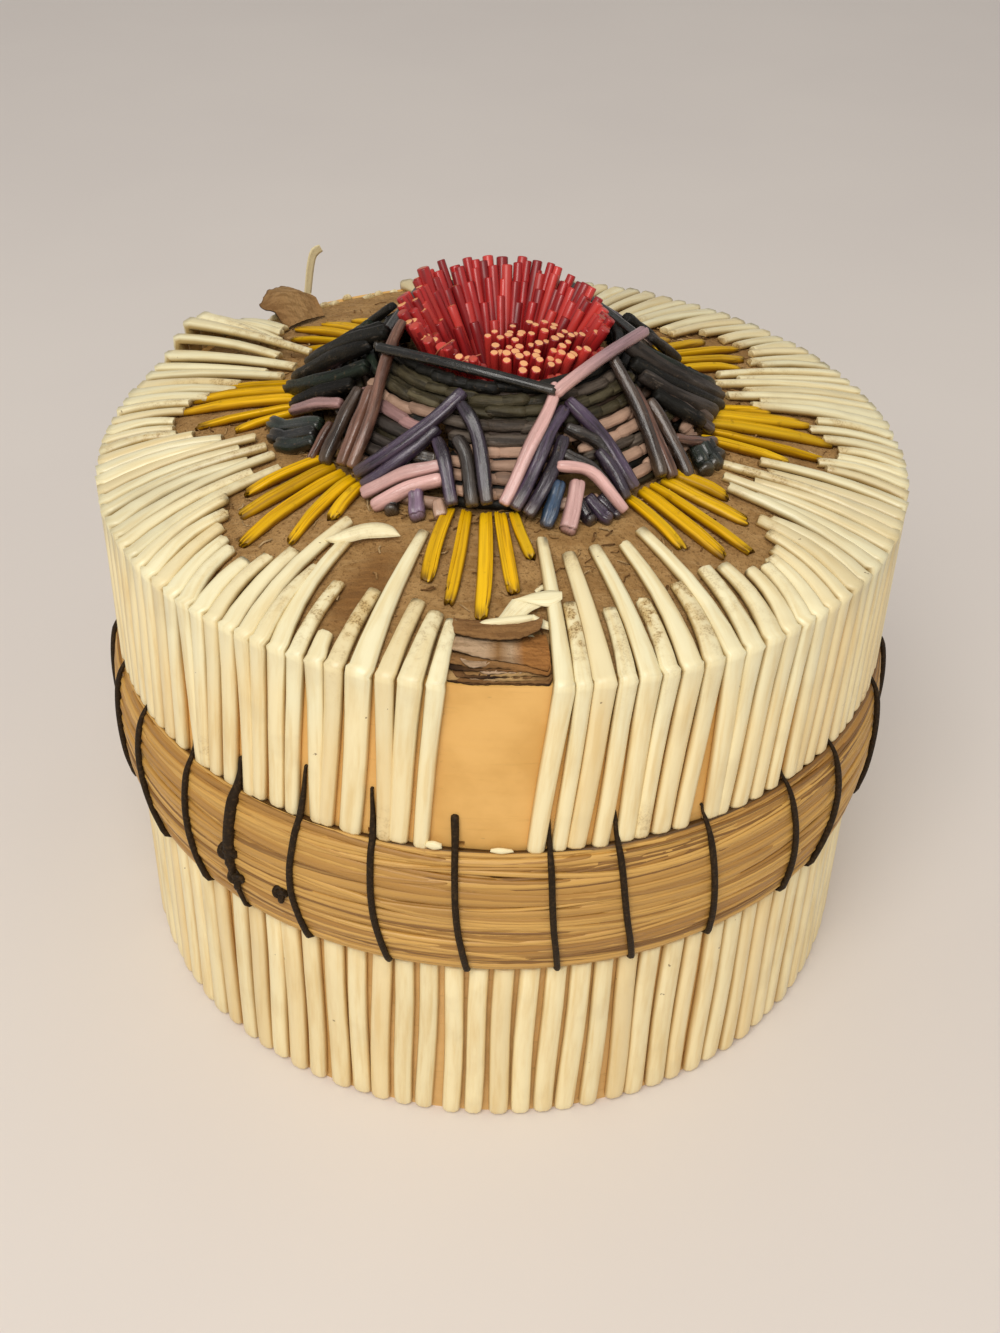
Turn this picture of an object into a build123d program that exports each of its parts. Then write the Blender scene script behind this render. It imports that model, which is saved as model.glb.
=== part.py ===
from build123d import *

import os
from math import atan2, cos, degrees, pi, radians, sin, sqrt

# A round birchbark box covered with porcupine quills. The lid lifts off a tall inner neck.
# Frame: +Z up, origin at the middle of the underside, front of the box towards -Y, millimetres.
# Angles are degrees from +X, counted anticlockwise seen from above.

os.makedirs("parts", exist_ok=True)

# Overall sizes
lid_radius = 45.0  # outside of the lid's side quills
lid_crease_height = 63.0  # where the lid's quills fold over the rim
base_height = 24.4  # top edge of the base wall
neck_height = 46.0  # top edge of the base's lining, which the lid slides over
dome_rise = 4.6  # flat crown of the lid's top above its rim
crown_radius = 22.2  # edge of that crown, under the flower
lid_top_facets = 72

# Birchbark
wall_bark = 1.1
top_bark = 1.4
floor_bark = 1.3
lining_bark = 0.8
seam_width = 0.25
seam_slant = 55.0  # degrees from square across the strip's end

# White quills
quill_height = 1.2
lid_quill_width = 1.85
lid_quill_tip_width = 1.25
lid_quill_count = 136
lid_quill_lean = 2.2  # degrees that the lower end trails the crease
base_quill_width = 1.85
base_quill_foot = 0.4
base_quill_count = 102
quill_crown_share = 0.58  # flat top of a quill beside its underside
bare_front = (264.4, 275.8)  # lost quills between these angles

# Sweetgrass band and the thread that sews it on
band_height = 16.6
band_thickness = 1.75
band_edge = 0.6
band_bundle_count = 3
band_bundle_groove = 0.18
thread_thickness = 0.45
thread_width = 0.7
stitch_count = 31
stitch_phase = 254.0
stitch_shoulder_share = 0.25  # of the band's height, where the thread leaves its barrel
knot_size = 1.0
knot_sides = 6
knot_steps = (-2, -1)  # stitches counted from the phase that end in a knot

# Yellow fans
fan_angles = (267.0, 316.0, 356.0, 38.0, 88.0, 136.0, 178.0, 223.0)
fan_quill_height = 1.05
fan_quill_root_width = 1.3
fan_quill_width = 1.9
fan_quill_tip_width = 0.5
fan_widest_share = 0.45
fan_quill_draft = 18.0  # degrees that its sides lean in
fan_root_radius = 22.8
fan_length_shares = (0.70, 0.89, 1.0, 0.78, 0.45)
fan_root_turns = (-10.9, -5.9, -1.2, 2.9, 6.4)
fan_tip_turns = (-9.5, -4.8, 0.3, 5.2, 9.2)
fan_tip_gap = 1.3  # between the longest yellow quill and the white quills in front of it
white_fan_cover = 6.4  # how far white quills reach in over the rim in front of a fan
white_petal_gap = 1.5  # between the petals and the white quills half way between two fans

# Raised flower
mound_foot_radius = 21.6
mound_top_radius = 13.2
mound_rise = 7.8
flower_quill_width = 1.35
flower_quill_height = 1.1
row_width = 1.45
row_count = 7
row_overhang = 1.0  # a row runs this far past the outermost leg
leg_pitch = 1.5
leg_foot_turn = 3.5  # degrees from the fan's middle to the outermost leg's foot
leg_top_turn = 5.0  # degrees from the petal's middle to the outermost leg's top
leg_start_shares = (0.0, 0.42, 0.66)  # how far down the mound the legs on one side start
fill_radii = (18.9, 21.2)
fill_half_lengths = (3.0, 3.6)
stub_radius = 23.9
stub_length = 2.8
stub_turns = (-5.5, -1.8, 1.8, 5.5)
stub_width = 1.2

# Tuft of cut red quills and the quills laid round it
strand_count = 120
strand_hole_count = 14  # strands left out in the middle
strand_root_radius = 5.0
strand_tip_radius = 11.0
strand_width = 0.66
strand_sides = 3
tuft_low = 11.9
tuft_high = 14.4
tuft_front = 320.0  # the side that is cut shorter
tuft_slice = 0.6
tuft_slice_sides = 24
collar_out = 1.5  # outside the flower's top edge
collar_angles = (202.0, 293.0, 355.0, 63.0, 131.0)
collar_margin = 5.0
collar_pink_span = 1

# Damage on the lid
torn_layer = 0.45
torn_layer_count = 2
torn_depth = 4.4
torn_length = 9.0
loose_quill_width = 1.5
loose_quill_height = 0.6
loose_front_inset = 2.04  # in from the edge of the bark top
loose_front_angles = (266.4, 274.0)
loose_left_inset = 11.4  # in from the outside of the lid
loose_left_angles = (240.0, 248.5)
loose_back_inset = 4.5
loose_back_angle = 128.0
loose_back_rise = 5.5
loose_back_lean = 1.6

# Clearances
seat_gap = 0.06
slide_gap = 0.3
rest_gap = 0.2
hole_gap = 0.15
over_gap = 0.12
cut_overrun = 1.0

# Radii and heights that follow
lid_wall_radius = lid_radius - quill_height
lid_wall_bore = lid_wall_radius - wall_bark
neck_radius = lid_wall_bore - thread_thickness - seat_gap - slide_gap
neck_bore = neck_radius - lining_bark
base_wall_bore = neck_radius + seat_gap
base_wall_radius = base_wall_bore + wall_bark
lid_wall_foot = base_height + rest_gap + thread_thickness + seat_gap
band_top = lid_wall_foot + band_height
lid_rim = lid_crease_height - quill_height
quill_foot = band_top + thread_thickness + 2 * seat_gap
lid_lining_radius = lid_wall_bore - seat_gap
lid_lining_bore = lid_lining_radius - lining_bark
white_reach_fan = lid_wall_radius - white_fan_cover
white_reach_petal = stub_radius + stub_length + white_petal_gap
fan_length = white_reach_fan - fan_tip_gap - fan_root_radius
collar_radius = mound_top_radius + collar_out
petal_angles = [
    angle + ((after - angle) % 360) / 2
    for angle, after in zip(fan_angles, fan_angles[1:] + fan_angles[:1])
]


def polar(radius, angle, height):
    """The point at a radius, an angle and a height."""
    return Vector(radius * cos(radians(angle)), radius * sin(radians(angle)), height)


def dome(radius):
    """Height of the lid's bark top: a cone that rises from the rim to a flat crown."""
    slope = dome_rise / (lid_wall_radius - crown_radius)
    return lid_rim + slope * (lid_wall_radius - max(radius, crown_radius))


def quill(start, end, width, height, lift):
    """A flattened quill laid straight from start to end. Lift points away from what it lies on."""
    forward = (end - start).normalized()
    side = forward.cross(lift).normalized()
    half = width / 2
    crown = half * quill_crown_share
    with BuildPart() as strand:
        for point in (start, end):
            with BuildSketch(Plane(origin=point, x_dir=side, z_dir=forward)):
                with BuildLine():
                    Polyline((-half, 0), (half, 0), (crown, -height), (-crown, -height), close=True)
                make_face()
        loft(ruled=True)
    return strand.part


def group(name, pieces):
    """Separate solids of one node, labelled and written to its file."""
    together = Compound(label=name, children=pieces)
    export_step(together, f"parts/{name}.step")


def ring(radius, bore, foot, top):
    """A strip of bark bent round, its scarfed ends meeting at the back."""
    with BuildPart() as strip:
        with BuildSketch(Plane.XY.offset(foot)):
            Circle(radius)
            Circle(bore, mode=Mode.SUBTRACT)
        extrude(amount=top - foot)
        seam = Plane(origin=((0, (radius + bore) / 2, (foot + top) / 2)))
        with Locations(seam):
            Box(
                seam_width,
                cut_overrun + (radius - bore) / cos(radians(seam_slant)),
                top - foot + cut_overrun,
                rotation=(0, 0, seam_slant),
                mode=Mode.SUBTRACT,
            )
    return strip.part


# Base: floor, wall and the tall lining that makes the neck
with BuildPart() as base_floor:
    with BuildSketch():
        Circle(base_wall_bore - seat_gap)
    extrude(amount=floor_bark)
base_floor.part.label = "base_floor"
export_step(base_floor.part, "parts/base_floor.step")

base_wall = ring(base_wall_radius, base_wall_bore, 0, base_height)
base_wall.label = "base_wall"
export_step(base_wall, "parts/base_wall.step")

base_lining = ring(neck_radius, neck_bore, floor_bark + seat_gap, neck_height)
base_lining.label = "base_lining"
export_step(base_lining, "parts/base_lining.step")

# Upright quills of the base
base_quills = []
for number in range(base_quill_count):
    angle = 360 * number / base_quill_count
    foot = polar(base_wall_radius + seat_gap, angle, base_quill_foot)
    head = polar(base_wall_radius + seat_gap, angle, base_height - seat_gap)
    base_quills.append(quill(foot, head, base_quill_width, quill_height, polar(1, angle, 0)))
group("base_quills", base_quills)

# Lid: wall with slits for the thread, lining, domed top and the flat disc under it
with BuildPart() as lid_wall:
    add(ring(lid_wall_radius, lid_wall_bore, lid_wall_foot, lid_rim))
    with Locations((0, 0, band_top + thread_thickness / 2 + seat_gap)):
        with PolarLocations((lid_wall_radius + lid_wall_bore) / 2, stitch_count, stitch_phase):
            Box(
                wall_bark + cut_overrun,
                thread_width + 2 * hole_gap,
                thread_thickness + 2 * hole_gap,
                mode=Mode.SUBTRACT,
            )
lid_wall.part.label = "lid_wall"
export_step(lid_wall.part, "parts/lid_wall.step")

lid_top_radius = lid_wall_bore - seat_gap
lid_lining_top = dome(lid_top_radius) - top_bark - seat_gap
lid_lining = ring(lid_lining_radius, lid_lining_bore, neck_height + slide_gap, lid_lining_top)
lid_lining.label = "lid_lining"
export_step(lid_lining, "parts/lid_lining.step")

with BuildPart() as lid_top:
    spread = degrees(atan2(lid_wall_radius - crown_radius, dome_rise))
    above = dome(lid_top_radius)
    for level, mode in ((above, Mode.ADD), (above - top_bark, Mode.SUBTRACT)):
        with BuildSketch(Plane.XY.offset(level)):
            RegularPolygon(lid_top_radius, lid_top_facets)
        extrude(amount=dome(crown_radius) - dome(lid_top_radius), taper=spread, mode=mode)
        with BuildSketch(Plane.XY.offset(level)):
            RegularPolygon(lid_top_radius, lid_top_facets)
        extrude(amount=-top_bark, mode=mode)
    for layer in range(torn_layer_count):
        reach = torn_depth * (torn_layer_count - layer) / torn_layer_count
        floor = dome(lid_top_radius) - torn_layer * (layer + 1)
        with Locations((0, -lid_top_radius, floor)):
            Box(
                torn_length,
                2 * reach,
                dome_rise,
                align=(Align.CENTER, Align.CENTER, Align.MIN),
                mode=Mode.SUBTRACT,
            )
lid_top.part.label = "lid_top"
export_step(lid_top.part, "parts/lid_top.step")

top_lining_radius = lid_lining_bore - seat_gap
with BuildPart() as lid_top_lining:
    top_lining_height = dome(top_lining_radius) - top_bark - seat_gap - lining_bark
    with BuildSketch(Plane.XY.offset(top_lining_height)):
        Circle(top_lining_radius)
    extrude(amount=lining_bark)
lid_top_lining.part.label = "lid_top_lining"
export_step(lid_top_lining.part, "parts/lid_top_lining.step")


def white_reach(angle):
    """Inner end of a white quill: far out in front of a fan, far in beside a petal."""
    turns = [abs((angle - fan + 180) % 360 - 180) for fan in fan_angles]
    half_span = 180 / len(fan_angles)
    nearness = (1 + cos(pi * min(min(turns), half_span) / half_span)) / 2
    return white_reach_petal + (white_reach_fan - white_reach_petal) * nearness


def lid_quill(angle):
    """A white quill up the side of the lid, folded over its rim and laid in along the dome."""
    inner = white_reach(angle)
    out = polar(1, angle, 0)
    lean = radians(lid_quill_lean)
    upright = polar(sin(lean), angle + 90, cos(lean))
    profile = Plane(origin=(0, 0, lid_rim), x_dir=out, z_dir=out.cross(upright))
    plan = Plane(origin=(0, 0, lid_rim), x_dir=out, z_dir=upright)
    under = lid_wall_radius + seat_gap
    outside = under + quill_height
    foot = quill_foot - lid_rim
    rise = dome(inner) - lid_rim + seat_gap
    taper_share = (lid_wall_radius - inner) / (lid_wall_radius - white_reach_petal)
    half = lid_quill_width / 2
    half_tip = half + (lid_quill_tip_width - lid_quill_width) / 2 * taper_share
    with BuildPart() as strand:
        with BuildSketch(profile):
            with BuildLine():
                Polyline(
                    (under, foot),
                    (outside, foot),
                    (outside, quill_height + seat_gap),
                    (inner, rise + quill_height),
                    (inner, rise),
                    (under, seat_gap),
                    close=True,
                )
            make_face()
        extrude(amount=half, both=True)
        with BuildSketch(plan):
            with BuildLine():
                Polyline(
                    (inner, -half_tip),
                    (under, -half),
                    (outside, -half),
                    (outside, half),
                    (under, half),
                    (inner, half_tip),
                    close=True,
                )
            make_face()
        extrude(amount=lid_crease_height, both=True, mode=Mode.INTERSECT)
    return strand.part


lid_quill_angles = [360 * number / lid_quill_count for number in range(lid_quill_count)]
kept_angles = [angle for angle in lid_quill_angles if not bare_front[0] < angle < bare_front[1]]
group("lid_quills", [lid_quill(angle) for angle in kept_angles])


# Eight fans of yellow quills, the middle one longest, each a flat leaf laid along the cone
def fan_quill(root_angle, tip_angle, length):
    """One leaf-shaped quill, widest part way along, its sides leaning in."""
    tip_radius = fan_root_radius + length
    root = polar(fan_root_radius, root_angle, dome(fan_root_radius) + seat_gap)
    tip = polar(tip_radius, tip_angle, dome(tip_radius) + seat_gap)
    forward = tip - root
    side = Vector(0, 0, 1).cross(forward)
    reach = forward.length
    widest = reach * fan_widest_share
    with BuildPart() as leaf:
        with BuildSketch(Plane(origin=root, x_dir=forward, z_dir=forward.cross(side))):
            with BuildLine():
                Polyline(
                    (0, fan_quill_root_width / 2),
                    (0, -fan_quill_root_width / 2),
                    (widest, -fan_quill_width / 2),
                    (reach, -fan_quill_tip_width / 2),
                    (reach, fan_quill_tip_width / 2),
                    (widest, fan_quill_width / 2),
                    close=True,
                )
            make_face()
        extrude(amount=fan_quill_height, taper=fan_quill_draft)
    return leaf.part


for number, fan in enumerate(fan_angles, start=1):
    leaves = [
        fan_quill(fan + root_turn, fan + tip_turn, fan_length * share)
        for share, root_turn, tip_turn in zip(fan_length_shares, fan_root_turns, fan_tip_turns)
    ]
    group(f"yellow_fan_{number}", leaves)

# Sweetgrass band: a flat bundle of grass round the lid's lower edge, ridged on a barrel curve
band_bore = lid_wall_radius + seat_gap
with BuildPart() as sweetgrass_band:
    with BuildSketch(Plane.XZ):
        with BuildLine():
            outer = []
            for step in range(2 * band_bundle_count + 1):
                share = step / band_bundle_count - 1
                swell = band_edge + (band_thickness - band_edge) * (1 - share**2)
                between = step % 2 == 0 and abs(share) < 1
                groove = band_bundle_groove if between else 0
                height = lid_wall_foot + band_height * step / 2 / band_bundle_count
                outer.append((band_bore + swell - groove, height))
            Polyline((band_bore, lid_wall_foot), *outer, (band_bore, band_top), close=True)
        make_face()
    revolve(axis=Axis.Z)
sweetgrass_band.part.label = "sweetgrass_band"
export_step(sweetgrass_band.part, "parts/sweetgrass_band.step")

# Stitches: closed loops of thread through the wall above the band and under its lower edge
stitch_edge = band_bore + band_edge + seat_gap
stitch_outer = band_bore + band_thickness + seat_gap
stitch_low = lid_wall_foot - seat_gap
stitch_high = band_top + seat_gap
stitch_inner = lid_wall_bore - seat_gap
shoulder = band_height * stitch_shoulder_share
with BuildPart() as stitch:
    with BuildSketch(Plane.XZ):
        with BuildLine():
            Polyline(
                (stitch_inner, stitch_low),
                (stitch_edge, stitch_low),
                (stitch_outer, stitch_low + shoulder),
                (stitch_outer, stitch_high - shoulder),
                (stitch_edge, stitch_high),
                (stitch_inner, stitch_high),
                close=True,
            )
        loop = make_face()
        offset(loop, amount=thread_thickness, kind=Kind.INTERSECTION)
        add(loop, mode=Mode.SUBTRACT)
    extrude(amount=thread_width / 2, both=True)
stitch_angles = [stitch_phase + 360 * number / stitch_count for number in range(stitch_count)]
group("band_stitches", [stitch.part.rotate(Axis.Z, angle) for angle in stitch_angles])

# Two knots in the thread on the band's front left
with BuildPart() as knot:
    with BuildSketch(Plane.YZ.offset(stitch_outer + thread_thickness + seat_gap)):
        with Locations((0, stitch_low + shoulder + knot_size)):
            RegularPolygon(knot_size / 2, knot_sides)
    extrude(amount=knot_size)
knot_angles = [stitch_phase + 360 * step / stitch_count for step in knot_steps]
group("thread_knots", [knot.part.rotate(Axis.Z, angle) for angle in knot_angles])

# Raised flower: rows laid across each gap, then legs crossing over them down to the fans
mound_foot_height = dome(mound_foot_radius) + row_width / 4
mound_run = mound_foot_radius - mound_top_radius
mound_slope = sqrt(mound_run**2 + mound_rise**2)
lift_out = mound_rise / mound_slope
lift_up = mound_run / mound_slope


def mound_point(share, angle, lift):
    """A point down the flower's flank, from its top at 0 to its foot at 1, lifted off it."""
    radius = mound_top_radius + mound_run * share + lift * lift_out
    height = mound_foot_height + mound_rise * (1 - share) + lift * lift_up
    return polar(radius, angle, height)


def mound_lift(angle):
    """The direction square to the flower's flank."""
    return Vector(lift_out * cos(radians(angle)), lift_out * sin(radians(angle)), lift_up)


leg_lift = flower_quill_height + over_gap


def leg_turn(fan, petal, share):
    """Angle from a fan's middle to the outermost leg of the petal beside it."""
    side = (petal - fan + 180) % 360 - 180
    top = abs(side) - leg_top_turn
    return (leg_foot_turn - top) * share + top


for number, fan in enumerate(fan_angles, start=1):
    before = petal_angles[number - 2]
    after = petal_angles[number - 1]
    rows = []
    for row in range(row_count):
        share = (row + 1 / 2) / row_count
        radius = mound_top_radius + mound_run * share
        past = row_overhang / radius * 180 / pi
        start = fan - leg_turn(fan, before, share) - past
        end = fan + leg_turn(fan, after, share) + past
        rows.append(
            quill(
                mound_point(share, start, 0),
                mound_point(share, end, 0),
                row_width,
                flower_quill_height,
                mound_lift((start + end) / 2),
            )
        )
    group(f"weave_rows_{number}", rows)

for number, petal in enumerate(petal_angles, start=1):
    legs = []
    neighbours = ((fan_angles[number - 1], -1), (fan_angles[number % len(fan_angles)], 1))
    for fan, side in neighbours:
        for leg, start in enumerate(leg_start_shares):
            ends = []
            for share in (start, 1):
                radius = mound_top_radius + mound_run * share + leg_lift * lift_out
                turn = leg_turn(fan, petal, share) + leg * leg_pitch / radius * 180 / pi
                ends.append(mound_point(share, fan - side * turn, leg_lift))
            legs.append(quill(*ends, flower_quill_width, flower_quill_height, mound_lift(petal)))
    group(f"petal_legs_{number}", legs)

# Short quills on the bark inside each petal
for number, petal in enumerate(petal_angles, start=1):
    fill = []
    along = polar(1, petal + 90, 0)
    for radius, half_length in zip(fill_radii, fill_half_lengths):
        middle = polar(radius, petal, dome(radius) + seat_gap)
        start = middle - along * half_length
        end = middle + along * half_length
        fill.append(quill(start, end, flower_quill_width, flower_quill_height, Vector(0, 0, 1)))
    for turn in stub_turns:
        start = polar(stub_radius, petal + turn, dome(stub_radius) + seat_gap)
        outer_radius = stub_radius + stub_length
        end = polar(outer_radius, petal + turn, dome(outer_radius) + seat_gap)
        fill.append(quill(start, end, stub_width, flower_quill_height, Vector(0, 0, 1)))
    group(f"petal_fill_{number}", fill)

# Tuft: cut quills that splay from one root slice, in a sunflower pattern so that none cross
root_height = dome(0) + seat_gap
golden_turn = 180 * (3 - sqrt(5))
strands = []
for number in range(strand_hole_count, strand_count + strand_hole_count):
    spread_share = sqrt((number + 0.5) / (strand_count + strand_hole_count))
    angle = number * golden_turn
    front_share = (1 + cos(radians(angle - tuft_front))) / 2
    rise = tuft_high - (tuft_high - tuft_low) * front_share
    splay = strand_root_radius + (strand_tip_radius - strand_root_radius) * rise / tuft_high
    root = polar(strand_root_radius * spread_share, angle, root_height + tuft_slice / 2)
    tip = polar(splay * spread_share, angle, root_height + rise)
    with BuildPart() as strand:
        for point in (root, tip):
            with BuildSketch(Plane(origin=point, x_dir=polar(1, angle, 0), z_dir=(0, 0, 1))):
                RegularPolygon(strand_width / 2, strand_sides)
        loft(ruled=True)
    strands.append(strand.part)
with BuildPart() as red_tuft:
    with BuildSketch(Plane.XY.offset(root_height)):
        RegularPolygon(strand_root_radius + strand_width, tuft_slice_sides)
    extrude(amount=tuft_slice)
    add(strands)
red_tuft.part.label = "red_tuft"
export_step(red_tuft.part, "parts/red_tuft.step")

# Quills laid round the tuft on the tops of the petals
petal_top = mound_foot_height + mound_rise + (leg_lift + flower_quill_height) * lift_up
collar_height = petal_top + over_gap
collar_quills = []
for start, end in zip(collar_angles, collar_angles[1:] + collar_angles[:1]):
    span = (end - start) % 360
    first = polar(collar_radius, start + collar_margin, collar_height)
    second = polar(collar_radius, start + span - collar_margin, collar_height)
    collar_quills.append(quill(first, second, flower_quill_width, flower_quill_height, Vector(0, 0, 1)))
pink_collar = collar_quills.pop(collar_pink_span)
group("tuft_collar", collar_quills)
group("tuft_collar_pink", [pink_collar])

# Broken quills left on the lid: one in the bare gap, one on the left, one upright at the back
white_top = seat_gap + quill_height + 3 * over_gap
loose_front_radius = lid_top_radius - loose_front_inset
loose_left_radius = lid_radius - loose_left_inset
loose_back_radius = lid_radius - loose_back_inset
torn_floor = dome(lid_top_radius) - torn_layer
front_ends = [
    polar(loose_front_radius, angle, torn_floor + over_gap) for angle in loose_front_angles
]
left_ends = [
    polar(loose_left_radius, angle, dome(loose_left_radius - loose_quill_width) + white_top)
    for angle in loose_left_angles
]
back_foot = polar(loose_back_radius, loose_back_angle, dome(loose_back_radius) + white_top)
back_tip = back_foot + polar(loose_back_lean, loose_back_angle + 90, loose_back_rise)
broken_quills = [
    quill(*front_ends, loose_quill_width, loose_quill_height, Vector(0, 0, 1)),
    quill(*left_ends, loose_quill_width, loose_quill_height, Vector(0, 0, 1)),
    quill(back_foot, back_tip, loose_quill_width, loose_quill_height, polar(1, loose_back_angle, 0)),
]
group("broken_quills", broken_quills)
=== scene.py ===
"""Looks of a round birchbark box covered with porcupine quills.

Lengths are millimetres until a mesh is made. Angles are degrees from +X, anticlockwise from above.
"""

import math
from functools import cached_property

import bpy
import numpy as np
from mathutils import Matrix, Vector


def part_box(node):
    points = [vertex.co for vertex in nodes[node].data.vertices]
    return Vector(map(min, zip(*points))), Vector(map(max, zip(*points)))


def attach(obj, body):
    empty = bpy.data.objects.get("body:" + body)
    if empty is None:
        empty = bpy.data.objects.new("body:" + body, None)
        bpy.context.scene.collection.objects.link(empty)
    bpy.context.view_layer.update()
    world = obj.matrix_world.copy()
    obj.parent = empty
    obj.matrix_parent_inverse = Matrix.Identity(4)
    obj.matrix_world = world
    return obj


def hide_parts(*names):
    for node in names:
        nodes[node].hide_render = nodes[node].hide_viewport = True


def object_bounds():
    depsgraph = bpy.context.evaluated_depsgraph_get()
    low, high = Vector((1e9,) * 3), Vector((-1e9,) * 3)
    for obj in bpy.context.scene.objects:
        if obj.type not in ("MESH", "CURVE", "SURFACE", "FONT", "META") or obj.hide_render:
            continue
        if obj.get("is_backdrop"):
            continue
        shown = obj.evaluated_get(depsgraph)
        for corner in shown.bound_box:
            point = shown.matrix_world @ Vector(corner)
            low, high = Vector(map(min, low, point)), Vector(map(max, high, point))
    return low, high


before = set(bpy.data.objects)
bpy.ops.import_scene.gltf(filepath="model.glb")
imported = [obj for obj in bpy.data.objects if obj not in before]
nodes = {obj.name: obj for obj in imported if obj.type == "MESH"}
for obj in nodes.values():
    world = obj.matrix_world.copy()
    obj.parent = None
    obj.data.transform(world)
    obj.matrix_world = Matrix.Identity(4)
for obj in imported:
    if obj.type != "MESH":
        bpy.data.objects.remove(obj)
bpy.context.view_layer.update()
draw = np.random.default_rng(41)
MM = 0.001


def extent(node):
    """A CAD node's reach along +X, its foot and its top, to a hundredth of a millimetre."""
    low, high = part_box(node)
    return tuple(round(value / MM, 2) for value in (high[0], low[2], high[2]))


# Sizes that follow the CAD solids
WALL_RADIUS, _, LID_RIM = extent("lid_wall")
TOP_RADIUS, _, CROWN_Z = extent("lid_top")
BASE_RADIUS, _, BASE_TOP = extent("base_wall")
BAND_RADIUS, BAND_FOOT, BAND_TOP = extent("sweetgrass_band")
WALL_BORE = WALL_RADIUS - 1.1
TOP_BARK = 1.4
CROWN_RADIUS = 22.2
DOME_SLOPE = (CROWN_Z - LID_RIM) / (WALL_RADIUS - CROWN_RADIUS)
BAND_EDGE = 0.6
BAND_THICK = 1.75
BAND_BORE = BAND_RADIUS - BAND_THICK
BAND_HEIGHT = BAND_TOP - BAND_FOOT
BAND_MIDDLE = (BAND_FOOT + BAND_TOP) / 2
MOUND_TOP = 13.2
MOUND_RUN = 8.4
MOUND_RISE = 7.8
MOUND_FOOT_Z = 66.76
LIFT_OUT = 0.680
LIFT_UP = 0.733
TUFT_ROOT_Z = 66.5
FAN_ANGLES = (267.0, 316.0, 356.0, 38.0, 88.0, 136.0, 178.0, 223.0)
PETAL_ANGLES = (291.5, 336.0, 17.0, 63.0, 112.0, 157.0, 200.5, 245.0)
BARE_FRONT = (264.2, 276.2)

# Cross-sections: across from -1 to 1, up from 0 to 1
SOFT = ((-0.96, 0), (-1, 0.4), (-0.9, 0.8), (-0.55, 1), (0.55, 1), (0.9, 0.8), (1, 0.4), (0.96, 0))
DOMED = (
    *((-0.96, 0), (-1, 0.34), (-0.84, 0.72), (-0.42, 0.99)),
    *((0.42, 0.99), (0.84, 0.72), (1, 0.34), (0.96, 0)),
)
LEAF = ((-0.9, 0), (-1, 0.3), (-0.66, 0.82), (-0.2, 1), (0.2, 1), (0.66, 0.82), (1, 0.3), (0.9, 0))
RIDGED = (
    *((-0.9, 0.05), (-1, 0.42), (-0.8, 0.84), (-0.42, 1), (-0.06, 0.8)),
    *((0.3, 0.98), (0.74, 0.86), (1, 0.4), (0.9, 0.05)),
)
EIGHTHS = np.arange(8) * math.pi / 4 + math.pi / 8
ROUND = tuple((math.cos(a), 0.5 + 0.5 * math.sin(a)) for a in EIGHTHS)
CORD = tuple((math.cos(a), 0.5 * math.sin(a)) for a in EIGHTHS)
BLADE = ((-1, 0), (-0.6, 0.8), (0.1, 1), (0.7, 0.7), (1, 0))
# Low edges are where strips take their painted edge shade
LOW_EDGE = 0.55  # what lies lower on a cross-section is its edge

PLAIN = (1, 1, 1)
UPWARDS = (0, 0, 1)


def polar(radius, angle, height):
    """The point at a radius, an angle and a height."""
    turn = np.radians(angle)
    radius, turn, height = np.broadcast_arrays(radius, turn, height)
    return np.stack([radius * np.cos(turn), radius * np.sin(turn), height], -1).astype(float)


def turn_from(mark, angle):
    """Degrees from a mark to an angle, the short way round."""
    return (angle - mark + 180) % 360 - 180


def facing(angle, towards):
    """Cosine of the turn between two angles."""
    return math.cos(math.radians(angle - towards))


def dome(radius):
    """Height of the lid's bark top."""
    return LID_RIM + DOME_SLOPE * (WALL_RADIUS - np.maximum(radius, CROWN_RADIUS))


def flank(angle, share, lift):
    """A point on the flower's flank, from its top at share 0 to its foot at 1."""
    share = np.asarray(share, float)
    radius = MOUND_TOP + MOUND_RUN * share + lift * LIFT_OUT
    height = MOUND_FOOT_Z + MOUND_RISE * (1 - share) + lift * LIFT_UP
    return polar(radius, angle, height)


def flank_lift(angle):
    """The direction square to the flower's flank."""
    return polar(LIFT_OUT, angle, LIFT_UP)


def unit(vectors):
    return vectors / np.maximum(np.linalg.norm(vectors, axis=-1, keepdims=True), 1e-9)


def chance(low=0.0, high=1.0):
    return float(draw.uniform(low, high))


def lengths(line):
    """Length along a line up to each of its points."""
    return np.concatenate([[0], np.cumsum(np.linalg.norm(np.diff(line, axis=0), axis=1))])


def sample(at, along, values):
    """Rows of values at places between those that along gives."""
    return np.stack([np.interp(at, along, column) for column in values.T], -1)


def smooth(points, count):
    """A rounded line through a few points, as count points evenly spread."""
    points = np.asarray(points, float)
    if len(points) == 2:
        return points[0] + (points[1] - points[0]) * np.linspace(0, 1, count)[:, None]
    padded = np.vstack([2 * points[0] - points[1], points, 2 * points[-1] - points[-2]])
    fine = []
    t = np.linspace(0, 1, 16, endpoint=False)[:, None]
    for step in range(len(points) - 1):
        a, b, c, d = padded[step : step + 4]
        bend = 2 * a - 5 * b + 4 * c - d
        fine.append(0.5 * (2 * b + (c - a) * t + bend * t**2 + (3 * b - a - 3 * c + d) * t**3))
    line = np.vstack(fine + [points[-1:]])
    along = lengths(line)
    return sample(np.linspace(0, 1, count) * along[-1], along, line)


def link(name, data):
    """A new object in the scene."""
    made = bpy.data.objects.new(name, data)
    bpy.context.scene.collection.objects.link(made)
    return made


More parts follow.
